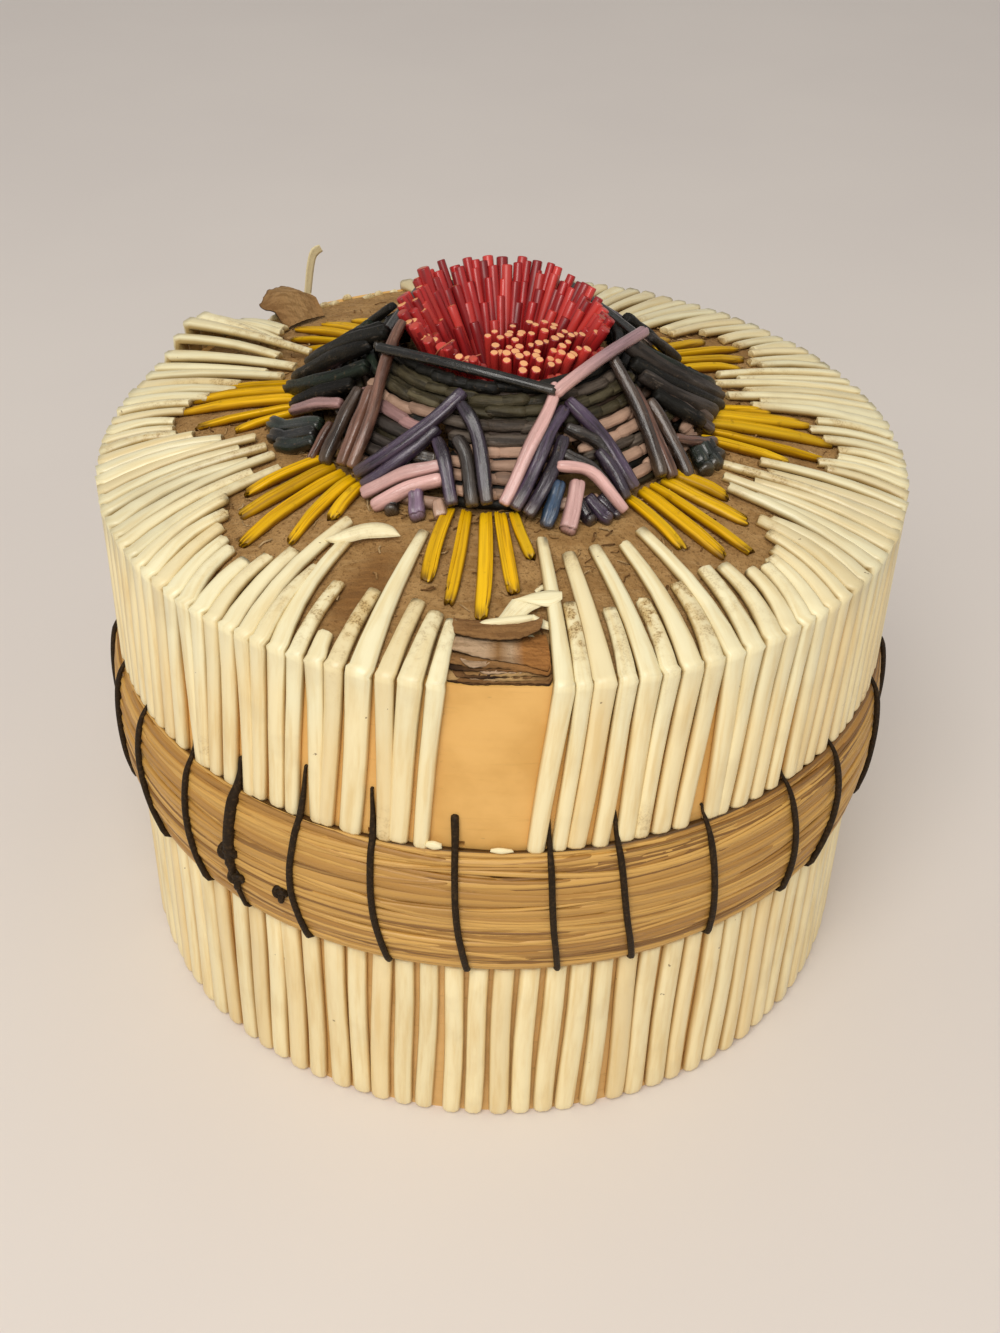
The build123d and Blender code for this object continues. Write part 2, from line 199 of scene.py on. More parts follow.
class Strips:
    """Gathers strips of one piece: each is a cross-section carried along a line."""

    END_STEPS = np.array([0, 0.12, 0.42, 1])
    LONGEST_END = 0.45  # of the strip's length
    LOW_END = 0.35  # share of its height that a closed end keeps
    FRAYED_ROWS = ((-1, 1.0), (-2, 0.8), (-3, 0.5))

    def __init__(self):
        self.verts, self.faces, self.uvs, self.tones, self.tints = [], [], [], [], []
        self.count = 0

    def keep(self, points, along, tone, tint):
        """Stores a grid of points. tone holds a chance number and a stain; on the sweetgrass band the stain
        carries painted shade.
        """
        rows, cols = points.shape[:2]
        tone = np.broadcast_to(np.asarray(tone, float), (rows, cols, 2))
        tint = np.broadcast_to(np.asarray(tint, float), (rows, cols, 3))
        along = np.broadcast_to(along[:, None], (rows, cols))
        ones = np.ones((rows, cols))
        self.verts.append(points.reshape(-1, 3))
        self.tones.append(np.stack([tone[..., 0], along, tone[..., 1], ones], -1).reshape(-1, 4))
        self.tints.append(np.dstack([tint, ones]).reshape(-1, 4))

    def knit(self, us, vs, closed):
        """Joins rows of points, which stand at the UVs us and vs, by faces."""
        rows, cols = len(vs), len(us) - 1
        for row in range(rows - 1):
            low, high = self.count + row * cols, self.count + (row + 1) * cols
            for col in range(cols if closed else cols - 1):
                after = (col + 1) % cols
                self.faces.append((low + col, low + after, high + after, high + col))
                left, right, near, far = us[col], us[col + 1], vs[row], vs[row + 1]
                self.uvs += [(left, near), (right, near), (right, far), (left, far)]

    def add(
        self, path, lift, width, height, section, tone=(0.5, 0), tint=PLAIN, ends=(0.5, 0.5), blunt=0.3,
        grime=None, torn=0.0,
    ):
        """One strip. tone is a chance number and a stain, which on the sweetgrass band carries painted shade;
        ends are the lengths rounded off.
        Its edge tint darkens its low edges as painted shade; torn is how far its last end is frayed."""
        path = np.asarray(path, float)
        lift = np.broadcast_to(np.asarray(lift, float), path.shape)
        width, height = (np.broadcast_to(np.asarray(size, float), len(path)) for size in (width, height))
        along = lengths(path)
        length = along[-1]
        ends = [min(end, self.LONGEST_END * length) for end in ends]
        marks = along[(along > ends[0] * 1.05) & (along < length - ends[1] * 1.05)]
        head, tail = (end * self.END_STEPS if end > 0 else np.zeros(1) for end in ends)
        at = np.unique(np.concatenate([head, marks, length - tail]))
        line, up = sample(at, along, path), sample(at, along, lift)
        across, tall = np.interp(at, along, width), np.interp(at, along, height)
        full = np.ones(len(at))
        for end, gone in ((ends[0], at), (ends[1], length - at)):
            if end > 0:
                near = np.clip(gone / end, 0, 1)
                full = np.minimum(full, blunt + (1 - blunt) * np.sqrt(1 - (1 - near) ** 2))
        forward = unit(np.gradient(line, axis=0))
        side = unit(np.cross(forward, up))
        up = unit(np.cross(side, forward))
        shape = np.asarray(section, float)
        if shape.ndim == 3:
            spot = np.interp(at, along, np.arange(len(path)))
            step = np.minimum(spot.astype(int), len(path) - 2)
            part = (spot - step)[:, None, None]
            shape = shape[step] * (1 - part) + shape[step + 1] * part
        else:
            shape = np.broadcast_to(shape, (len(at), *shape.shape))
        tall = tall * (self.LOW_END + (1 - self.LOW_END) * full)
        rings = line[:, None] + side[:, None] * (shape[:, :, :1] * (across * full / 2)[:, None, None])
        rings = rings + up[:, None] * (shape[:, :, 1:] * tall[:, None, None])
        rows, cols = shape.shape[:2]
        if torn:
            fray = draw.uniform(-1, 0.3, cols) * torn
            for row, part in self.FRAYED_ROWS:
                rings[row] += forward[row] * (fray * part)[:, None]
        tints = np.tile(np.asarray(tint, float), (rows, cols, 1))
        # Painted shade: the low edges take a darker tint, standing in for shade between neighbouring strips
        if grime is not None:
            tints[shape[:, :, 1] < LOW_EDGE] *= grime
        self.keep(rings, at / max(length, 1e-6), tone, tints)
        us = np.arange(cols + 1) / cols
        self.knit(us, at, True)
        for row, turn in ((0, -1), (rows - 1, 1)):
            self.faces.append(tuple([self.count + row * cols + col for col in range(cols)][::turn]))
            self.uvs += [(u, at[row]) for u in us[:-1]]
        self.count += rows * cols

    def grid(self, points, tone, tint=PLAIN, closed=False):
        """A sheet through a grid of points, with a tone and a tint for all or for each."""
        points = np.asarray(points, float)
        rows, cols = points.shape[:2]
        self.keep(points, np.linspace(0, 1, rows), tone, tint)
        self.knit(np.arange(cols + 1), np.arange(rows), closed)
        self.count += rows * cols

    def ribbon(self, left, right, thick, curl, tone):
        """A thin flat strip between two edges, bowed up across by curl, thinned out at both ends."""
        count = 16
        shares = np.linspace(0, 1, 5)
        one, two = smooth(left, count), smooth(right, count)
        forward = unit(np.gradient((one + two) / 2, axis=0))
        up = unit(np.cross(forward, unit(two - one)))
        up *= np.where(up[:, 2:] < 0, -1, 1)
        steps = np.arange(count)
        fade = np.minimum(1, np.minimum(steps, steps[::-1]) / 1.5 + 0.15)
        rings = []
        for side, depth in ((shares, 0.0), (shares[::-1], thick)):
            for share in side:
                arch = 4 * share * (1 - share)
                bow = curl * arch - depth * (0.15 + 0.85 * arch)
                rings.append(one + (two - one) * share + up * (bow * fade)[:, None])
        self.grid(np.stack(rings, 1), tone, closed=True)

    def build(self, name, material, node, body="lid"):
        """The piece as one mesh that stands for a CAD node, and rides on a body."""
        mesh = bpy.data.meshes.new(name)
        mesh.from_pydata((np.vstack(self.verts) * MM).tolist(), [], self.faces)
        mesh.uv_layers.new(name="along").data.foreach_set("uv", np.asarray(self.uvs, np.float32).ravel())
        for label, values in (("tone", self.tones), ("tint", self.tints)):
            layer = mesh.color_attributes.new(label, "FLOAT_COLOR", "POINT")
            layer.data.foreach_set("color", np.vstack(values).astype(np.float32).ravel())
        mesh.polygons.foreach_set("use_smooth", np.ones(len(mesh.polygons), bool))
        mesh.materials.append(material)
        mesh.update()
        piece = link(name, mesh)
        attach(piece, body)
        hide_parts(node)


# Channels of tone: a chance number, the share along, and a stain that on the band carries painted shade
CHANCE, ALONG, STAIN_AND_SHADE = range(3)


class Paint:
    """A node material. Its colour is laid on in coats, from the ground up."""

    def __init__(self, name, ground):
        self.material = bpy.data.materials.new(name)
        self.material.use_nodes = True
        self.tree = self.material.node_tree
        self.shader = self.tree.nodes["Principled BSDF"]
        self.colour = ground

    def node(self, kind, inputs, **settings):
        """A new node with values or sockets fed into some of its inputs."""
        made = self.tree.nodes.new(kind)
        for key, value in settings.items():
            setattr(made, key, value)
        for key, value in inputs.items():
            self.feed(made.inputs[key], value)
        return made

    def feed(self, socket, value):
        if isinstance(value, bpy.types.NodeSocket):
            self.tree.links.new(value, socket)
        elif socket.type == "RGBA":
            socket.default_value = (*value, 1)
        else:
            socket.default_value = value

    def set(self, label, value):
        self.shader.inputs[label].default_value = value

    def math(self, operation, a, b=0.0):
        return self.node("ShaderNodeMath", {0: a, 1: b}, operation=operation).outputs[0]

    def times(self, a, b):
        return self.math("MULTIPLY", a, b)

    def parts(self, colour):
        """Sockets of a colour's three channels."""
        return tuple(self.node("ShaderNodeSeparateColor", {0: colour}).outputs)

    @cached_property
    def tone(self):
        """Sockets of the strip's chance number, its share along and its stain, which on the band is painted
        shade.
        """
        return self.parts(self.node("ShaderNodeAttribute", {}, attribute_name="tone").outputs["Color"])

    @cached_property
    def tint(self):
        return self.node("ShaderNodeAttribute", {}, attribute_name="tint").outputs["Color"]

    @cached_property
    def uv(self):
        """Sockets of the place across and along a strip."""
        uv = self.node("ShaderNodeUVMap", {}, uv_map="along").outputs[0]
        return self.node("ShaderNodeSeparateXYZ", {0: uv}).outputs

    def noise(self, vector, scale, detail, rough):
        inputs = {"Vector": vector, "Scale": scale, "Detail": detail, "Roughness": rough}
        return self.node("ShaderNodeTexNoise", inputs).outputs[0]

    def streaks(self, across, along, detail, rough=0.55):
        """Noise that follows each strip, shifted by its chance number."""
        place = {0: self.times(self.uv[0], across), 1: self.times(self.uv[1], along)}
        place[2] = self.times(self.tone[CHANCE], 97.0)
        return self.noise(self.node("ShaderNodeCombineXYZ", place).outputs[0], 1.0, detail, rough)

    def cloud(self, scale, detail=3.0, rough=0.55, stretch=(1, 1, 1)):
        """Noise in millimetres of the object's own space, stretched."""
        where = self.node("ShaderNodeTexCoord", {}).outputs["Object"]
        inputs = {"Vector": where, "Scale": tuple(value / MM for value in stretch)}
        return self.noise(self.node("ShaderNodeMapping", inputs).outputs[0], scale, detail, rough)

    def fade(self, value, low, high, start=0.0, end=1.0):
        """A value that goes smoothly from start to end while another goes from low to high."""
        inputs = {"Value": value, "From Min": low, "From Max": high, "To Min": start, "To Max": end}
        return self.node("ShaderNodeMapRange", inputs, interpolation_type="SMOOTHSTEP").outputs[0]

    def mix(self, factor, a, b, blend="MIX"):
        made = self.node("ShaderNodeMix", {}, data_type="RGBA", blend_type=blend)
        for index, value in ((0, factor), (6, a), (7, b)):
            self.feed(made.inputs[index], value)
        return made.outputs[2]

    def coat(self, colour, amount=1.0, blend="MIX"):
        """Lays a colour over what is there."""
        self.colour = self.mix(amount, self.colour, colour, blend)

    def shade(self, colour, value, low, high, amount=1.0):
        """Lays a colour on where a value goes from low to high."""
        self.coat(colour, self.fade(value, low, high, 0.0, amount))

    def finish(self, roughness, bump=None, strength=0.3, distance=0.1):
        self.feed(self.shader.inputs["Base Color"], self.colour)
        self.feed(self.shader.inputs["Roughness"], roughness)
        if bump is not None:
            inputs = {"Height": bump, "Strength": strength, "Distance": distance * MM}
            self.feed(self.shader.inputs["Normal"], self.node("ShaderNodeBump", inputs).outputs[0])
        return self.material


def white_quill_paint():
    """Cream horn with fine streaks along each quill, mottled brown where it is stained."""
    paint = Paint("white_quill_horn", (0.93, 0.85, 0.55))
    streak = paint.streaks(7.0, 0.10, 4.0)
    smear = paint.cloud(0.75, 3.0, 0.6)
    crumb = paint.cloud(4.6, 3.0, 0.65)
    paint.shade((0.81, 0.66, 0.35), streak, 0.38, 0.76)
    paint.shade((0.78, 0.60, 0.30), paint.tone[CHANCE], 0.5, 1.0, 0.5)
    paint.shade((0.70, 0.59, 0.345), paint.cloud(0.16), 0.52, 0.72, 0.3)
    paint.coat(paint.tint, 1.0, "MULTIPLY")
    stain = paint.tone[STAIN_AND_SHADE]
    paint.coat((0.56, 0.36, 0.11), paint.times(stain, paint.fade(smear, 0.34, 0.62, 0.1, 0.7)))
    spots = paint.times(paint.fade(smear, 0.44, 0.60), paint.fade(crumb, 0.46, 0.60, 0.1, 0.9))
    paint.coat((0.22, 0.11, 0.022), paint.times(stain, spots))
    paint.shade((0.16, 0.09, 0.04), paint.cloud(0.95, 2.0), 0.765, 0.785, 0.75)
    return paint.finish(paint.fade(streak, 0.2, 0.9, 0.3, 0.52), streak, 0.35, 0.12)


def yellow_quill_paint():
    """Horn dyed yellow, browner at its tip; its tint darkens its edges as painted shade."""
    paint = Paint("yellow_quill_horn", (0.82, 0.46, 0.002))
    streak = paint.streaks(9.0, 0.12, 4.0)
    paint.shade((0.48, 0.245, 0.002), streak, 0.42, 0.70)
    paint.shade((0.88, 0.54, 0.010), paint.tone[CHANCE], 0.4, 1.0, 0.6)
    paint.shade((0.33, 0.175, 0.004), paint.cloud(0.8, 4.0, 0.65), 0.58, 0.76, 0.6)
    tip = paint.times(paint.fade(paint.tone[ALONG], 0.86, 1.0), paint.fade(streak, 0.3, 0.6))
    paint.coat((0.17, 0.08, 0.006), tip)
    paint.coat(paint.tint, 1.0, "MULTIPLY")
    paint.set("Specular IOR Level", 0.25)
    return paint.finish(paint.fade(streak, 0.2, 0.9, 0.3, 0.5), streak, 0.5, 0.14)


def dyed_quill_paint(name, worn, gloss, knobs, shine, coat):
    """Horn in a strip's own dye, streaked along, with worn scuffs and dusty ends."""
    paint = Paint(name, None)
    paint.colour = dye = paint.tint
    streak = paint.streaks(6.0, 0.16, 4.0)
    scuff = paint.streaks(7.0, 0.35, 5.0, 0.7)
    dust = paint.cloud(1.7, 5.0, 0.72)
    depth = paint.fade(paint.parts(dye)[0], 0.10, 0.50, 1.0, 0.3)
    dark = paint.mix(1.0, dye, (0.32, 0.30, 0.28), "MULTIPLY")
    paint.coat(dark, paint.times(paint.fade(streak, 0.40, 0.62), depth))
    paint.shade(paint.mix(0.22, dye, (0.50, 0.39, 0.30)), scuff, 0.60, 0.70, worn)
    paint.coat((0.13, 0.085, 0.045), paint.times(paint.fade(dust, 0.58, 0.70, 0.0, 0.5), depth))
    foot = paint.times(paint.fade(paint.tone[ALONG], 0.80, 1.0, 0.0, 0.25), paint.tone[STAIN_AND_SHADE])
    paint.coat((0.20, 0.13, 0.065), paint.times(foot, depth))
    paint.set("Specular IOR Level", shine)
    paint.set("Coat Weight", coat)
    paint.set("Coat Roughness", gloss)
    height = paint.math("ADD", streak, paint.times(dust, knobs))
    return paint.finish(paint.fade(scuff, 0.35, 0.7, gloss + 0.2, gloss), height, 0.8, 0.28)


def red_quill_paint():
    """Crimson cut quills with pale peach cut ends, which the strip's stain marks, and painted shade that
    darkens them toward their roots deep in the tuft.
    """
    paint = Paint("red_quill_horn", (0.46, 0.021, 0.020))
    streak = paint.streaks(5.0, 0.14, 3.0)
    paint.shade((0.18, 0.006, 0.008), streak, 0.35, 0.7)
    paint.shade((0.64, 0.055, 0.042), paint.tone[CHANCE], 0.45, 1.0, 0.8)
    paint.shade((0.17, 0.008, 0.010), paint.tone[CHANCE], 0.35, 0.0, 0.7)
    # Painted shade: darker toward the root, deep inside the tuft
    paint.coat((0.12, 0.004, 0.007), paint.fade(paint.tone[ALONG], 0.2, 0.85, 0.8, 0.0))
    paint.coat((0.88, 0.45, 0.19), paint.tone[STAIN_AND_SHADE])
    return paint.finish(paint.fade(streak, 0.2, 0.9, 0.24, 0.44), streak, 0.3, 0.12)


def grass_paint():
    """Dry sweetgrass: long blades from straw to brown, finely ribbed, with painted shade in the seam beside
    the wall.
    """
    paint = Paint("sweetgrass_blades", (0.65, 0.375, 0.094))
    streak = paint.streaks(11.0, 0.03, 5.0, 0.6)
    paint.shade((0.43, 0.215, 0.044), paint.tone[CHANCE], 0.1, 0.8)
    paint.shade((0.22, 0.100, 0.019), paint.tone[CHANCE], 0.8, 1.0)
    paint.shade((0.22, 0.100, 0.019), streak, 0.50, 0.76, 0.55)
    paint.shade((0.74, 0.455, 0.130), streak, 0.42, 0.24, 0.5)
    paint.shade((0.34, 0.17, 0.04), paint.cloud(0.12, stretch=(0.5, 0.5, 1)), 0.5, 0.75, 0.35)
    # Painted shade: where the stain channel is set, in the seam beside the wall, the blades go nearly black
    paint.coat((0.055, 0.024, 0.006), paint.tone[STAIN_AND_SHADE])
    return paint.finish(paint.fade(streak, 0.2, 0.8, 0.34, 0.56), streak, 0.5, 0.16)


def thread_paint():
    """Black waxed thread with a faint twist."""
    paint = Paint("black_thread_twist", (0.020, 0.011, 0.004))
    lay = paint.math("ADD", paint.uv[0], paint.times(paint.uv[1], 1.1))
    twist = paint.math("SINE", paint.times(lay, 4 * math.pi))
    fuzz = paint.cloud(2.5)
    paint.shade((0.055, 0.032, 0.013), fuzz, 0.45, 0.75)
    paint.set("Specular IOR Level", 0.15)
    return paint.finish(paint.fade(fuzz, 0.3, 0.8, 0.5, 0.75), twist, 0.2, 0.05)


def bark_top_paint():
    """Rough inner bark of the lid's top, brown and fibrous. Stain marks torn layers in their own tint, which
    holds painted shade on their undersides and in cracks.
    """
    paint = Paint("rough_birchbark", (0.585, 0.345, 0.132))
    coarse = paint.cloud(0.35, 6.0, 0.65)
    grain = paint.cloud(0.9, 5.0, 0.65, (0.35, 2.2, 1.5))
    pit = paint.cloud(2.6, 5.0, 0.75)
    paint.shade((0.385, 0.205, 0.066), coarse, 0.3, 0.7)
    paint.shade((0.69, 0.445, 0.200), grain, 0.48, 0.75, 0.6)
    paint.shade((0.19, 0.092, 0.026), pit, 0.50, 0.68, 0.85)
    worn = paint.mix(1.0, paint.tint, (0.70, 0.66, 0.60), "MULTIPLY")
    layer = paint.mix(paint.fade(grain, 0.40, 0.62), paint.tint, worn)
    layer = paint.mix(paint.fade(pit, 0.58, 0.72, 0.0, 0.6), layer, (0.12, 0.055, 0.018))
    paint.coat(layer, paint.tone[STAIN_AND_SHADE])
    paint.set("Specular IOR Level", 0.25)
    height = paint.math("ADD", coarse, paint.times(pit, 0.8))
    return paint.finish(paint.fade(pit, 0.2, 0.8, 0.72, 0.95), height, 0.9, 0.6)


def bark_sheet_paint(name, pale, deep, streaks):
    """Smooth birchbark bent round, with short level lines and small dark pores."""
    paint = Paint(name, pale)
    level = paint.cloud(0.55, 4.0, 0.6, (0.22, 0.22, 2.4))
    paint.shade(deep, paint.cloud(0.11, 4.0, 0.6), 0.35, 0.7)
    paint.shade(tuple(0.5 * value for value in deep), level, 0.58, 0.76, streaks)
    paint.shade((0.16, 0.08, 0.03), paint.cloud(0.9, 2.0, stretch=(0.6, 0.6, 2.2)), 0.72, 0.78, streaks)
    return paint.finish(paint.fade(level, 0.3, 0.8, 0.5, 0.72), level, 0.3, 0.12)


WHITE = white_quill_paint()
YELLOW = yellow_quill_paint()
DYED = dyed_quill_paint("dyed_quill_horn", 0.65, 0.13, 0.3, 0.45, 0.45)
WEAVE = dyed_quill_paint("woven_quill_horn", 0.6, 0.36, 0.6, 0.25, 0.0)
RED = red_quill_paint()
GRASS = grass_paint()
THREAD = thread_paint()
ROUGH_BARK = bark_top_paint()
GOLD_BARK = bark_sheet_paint("golden_birchbark", (0.82, 0.475, 0.140), (0.70, 0.385, 0.098), 0.2)
TAN_BARK = bark_sheet_paint("tan_birchbark", (0.76, 0.475, 0.175), (0.60, 0.345, 0.105), 0.35)
INNER_BARK = bark_sheet_paint("inner_birchbark", (0.60, 0.37, 0.155), (0.46, 0.26, 0.095), 0.55)

# Bark sheets keep their CAD shape
SHEETS = {"base_wall": TAN_BARK, "lid_wall": GOLD_BARK}
for name in ("base_floor", "base_wall", "base_lining", "lid_wall", "lid_lining", "lid_top_lining"):
    nodes[name].data.materials.clear()
    nodes[name].data.materials.append(SHEETS.get(name, INNER_BARK))

# Base quills: upright, rounded in under the box at their feet
SIDE_TINT = (1.02, 0.965, 0.885)
# Painted shade for the low edges of white quills, standing in for shade between them; darker on the lid's top
EDGE_SHADE = (0.74, 0.61, 0.43)
TOP_EDGE_SHADE = (0.52, 0.41, 0.25)
BASE_COUNT = 102
BASE_LEAN = 0.7
BASE_QUILL_TOP = BASE_TOP - 0.1
BASE_OUT = np.array([0.0, 0.02, 0.03, 0.03, 0.03, 0.03, 0.03, 0.03])
BASE_LIFT = np.array([-0.5, -0.3, -0.1, 0, 0, 0, 0, 0])
BASE_WIDE = np.array([0.86, 0.95, 0.98, 1, 1, 1, 1.0, 0.98])
BASE_TALL = np.array([0.72, 0.9, 1, 1, 1, 1, 1, 1])
base = Strips()
for number in range(BASE_COUNT):
    angle = 360 * number / BASE_COUNT + chance(-0.3, 0.3)
    lean = BASE_LEAN + chance(-0.45, 0.45)
    low = 0.18 + chance(0, 0.2)
    heights = np.array([low, low + 0.45, low + 1.2, low + 2.6, 8, 13, 18, BASE_QUILL_TOP])
    turns = angle + lean * (heights / BASE_QUILL_TOP - 0.5) + 0.16 * np.sin(heights / 5 + number)
    path = polar(BASE_RADIUS + BASE_OUT, turns, heights)
    lift = unit(polar(1, turns, BASE_LIFT))
    wide = chance(2.1, 2.5) * BASE_WIDE
    tall = chance(1.0, 1.2) * BASE_TALL
    tone = (chance(), 0.0)
    tint = np.array(SIDE_TINT) * chance(0.93, 1.02)
    base.add(path, lift, wide, tall, DOMED, tone, tint, ends=(0.3, 0.3), blunt=0.5, grime=EDGE_SHADE)
base.build("base_quill_sheath", WHITE, "base_quills", "base")

# Lid quills: up the side, creased over the rim and laid in along the top
# Those in front: rim angle, rim width, radius and angle of the inner end, stain
FRONT_QUILLS = (
    (215.1, 2.10, 32.7, 210.7, 0.0),
    (217.8, 2.10, 33.9, 214.2, 0.0),
    (220.6, 2.15, 35.2, 216.5, 0.1),
    (223.4, 2.15, 36.0, 219.7, 0.0),
    (226.2, 2.10, 36.6, 222.5, 0.1),
    (228.9, 2.05, 36.6, 226.6, 0.0),
    (231.56, 1.95, 35.0, 229.2, 0.1),
    (234.15, 2.10, 33.0, 231.8, 0.0),
    (236.86, 1.95, 26.8, 235.2, 0.0),
    (239.27, 1.85, 33.9, 238.1, 0.5),
    (241.98, 2.10, 29.4, 238.8, 0.0),
    (244.58, 1.90, 34.8, 243.4, 0.8),
    (247.29, 2.05, 41.0, 246.6, 0.0),
    (249.96, 1.95, 34.2, 249.6, 0.9),
    (253.21, 2.75, 25.3, 252.4, 0.0),
    (256.53, 1.95, 34.4, 257.1, 0.2),
    (259.60, 2.50, 35.8, 260.4, 0.4),
    (262.65, 1.90, 36.7, 263.1, 0.3),
    (277.97, 2.15, 25.9, 278.9, 0.0),
    (280.43, 1.70, 34.5, 281.2, 1.0),
    (283.07, 2.35, 27.7, 283.9, 0.0),
    (285.93, 1.95, 35.5, 287.2, 0.4),
    (288.72, 2.25, 27.4, 289.7, 0.0),
    (291.42, 1.85, 35.0, 293.1, 1.0),
    (294.31, 2.35, 27.8, 296.0, 0.0),
    (297.39, 2.20, 34.5, 299.9, 0.9),
    (300.41, 2.25, 26.6, 301.6, 0.0),
    (303.39, 2.25, 33.8, 306.1, 0.3),
    (306.65, 2.40, 34.5, 309.5, 0.2),
    (309.68, 2.15, 36.4, 312.9, 0.0),
    (312.40, 2.10, 36.9, 315.6, 0.1),
    (315.00, 2.10, 36.3, 317.9, 0.0),
    (317.70, 2.10, 35.6, 320.4, 0.0),
    (320.40, 2.10, 34.0, 323.0, 0.0),
)
# The others follow the fans: radius of the inner end by the angle from a fan, and drift by angle
REACH_TURNS = (0, 3, 5, 7, 9, 11, 13, 16, 22.5)
REACHES = (37.2, 36.5, 35.6, 34.5, 32.6, 29.8, 27.4, 26.0, 25.7)
DRIFT_ANGLES = (20, 40, 62, 85, 112, 136, 160, 178, 195, 212, 323, 331, 341, 350, 358)
DRIFTS = (-1, 0, 1.5, 0, -2, 0, 1.5, 0, -2.6, -4.2, 2.2, -0.4, -2.4, -1.6, 0)
DRIFT_FROM, DRIFT_OVER = 45, 18  # radius where a quill starts to drift, and the run to its full drift
OTHERS_FROM, OTHERS_TO, OTHERS_COUNT = 323.2, 572.3, 89
ODD_SHORT = 3.6  # every other quill ends this much further out
ODD_WITHIN = 33
# Sideways bow on the top by angle, for a quill at least as long as LONG_QUILL
BOW_ANGLES = (20, 60, 90, 120, 160, 200, 220, 240, 258, 282, 300, 325, 350)
BOWS = (0.8, 0.4, 0, -0.4, -0.9, -1.7, -1.8, -1.2, -0.2, 0.25, 1.2, 1.8, 1.3)
LONG_QUILL = 16.0
# Damage: quills torn off at the back, with their ends' radii, and those peeled up beside them
TORN_BACK = (109.5, 138.5)
TORN_REACH = (41.0, 43.0)
SUNK = 1.7  # how far the torn ones have slipped down
PEELED, PEELED_SPAN, PEELED_RISE = 149.0, 6.0, 3.6
PEELED_FROM, PEELED_OVER = 54, 6  # height on the side where a quill starts to peel off, and how fast
# Stitches in front: rise above the band, and angles at the top, the middle and the foot. The others are even
FRONT_STITCHES = (
    (1.6, 211.6, 210.7, 214.6),
    (3.0, 224.5, 224.2, 226.0),
    (3.9, 234.0, 232.8, 234.0),
    (6.6, 244.9, 242.8, 244.6),
    (6.1, 254.2, 254.6, 256.3),
    (3.9, 265.0, 265.5, 266.9),
    (3.7, 277.0, 277.7, 278.9),
    (3.9, 285.6, 287.2, 289.2),
    (1.8, 298.4, 300.0, 300.9),
    (1.1, 312.4, 314.6, 314.9),
    (1.0, 323.2, 324.8, 321.8),
    (1.5, 340.4, 340.6, 340.2),
)
KNOTTED_STITCH = 2
OTHER_STITCHES = np.linspace(FRONT_STITCHES[-1][1], FRONT_STITCHES[0][1] + 360, 21)[1:-1] % 360
STITCH_ANGLES = [stitch[1] for stitch in FRONT_STITCHES] + list(OTHER_STITCHES)
THREAD_ROOM = 1.55  # degrees between a quill's foot and a stitch
CREASE = 0.16
MITRE = 1.36  # a quill's thickness at the crease, to keep it even round the bend
SEAT = 0.04  # between a quill and the wall
UNDER = WALL_RADIUS + SEAT
SIDE_LEAN = -2.2
STITCH_LEAN = 0.67 * SIDE_LEAN  # how far a quill has leant where the stitches start
TOP_SLOPE = 0.21  # how far a quill on the top tips out
LID_TALL = 0.92
SIDE_LEVELS = (47, 52, 57)
ABOVE_TOP = 0.05
TIP_SHARE = 0.78  # an inner end's greatest width, of the width at the rim
TIP_WIDTH, TIP_GROWTH, INNERMOST = 1.34, 0.045, 26  # its width by the radius where it ends
STAINED_FEET, STAINED_TIPS = 0.12, 0.16
ON_TOP = np.array([0, 0.15, 0.35, 0.55, 0.75, 0.9, 1])
LID_SECTIONS = np.array([DOMED] * 6 + [SOFT] * 4 + [DOMED] * 5)
lid = Strips()


def apart(foot, middle, marks, room):
    """A foot's angle moved some room away from each mark, to the side where the quill's middle stands."""
    for mark in marks:
        gap = turn_from(mark, foot)
        if abs(gap) < room:
            foot += math.copysign(room, turn_from(mark, middle)) - gap
    return foot


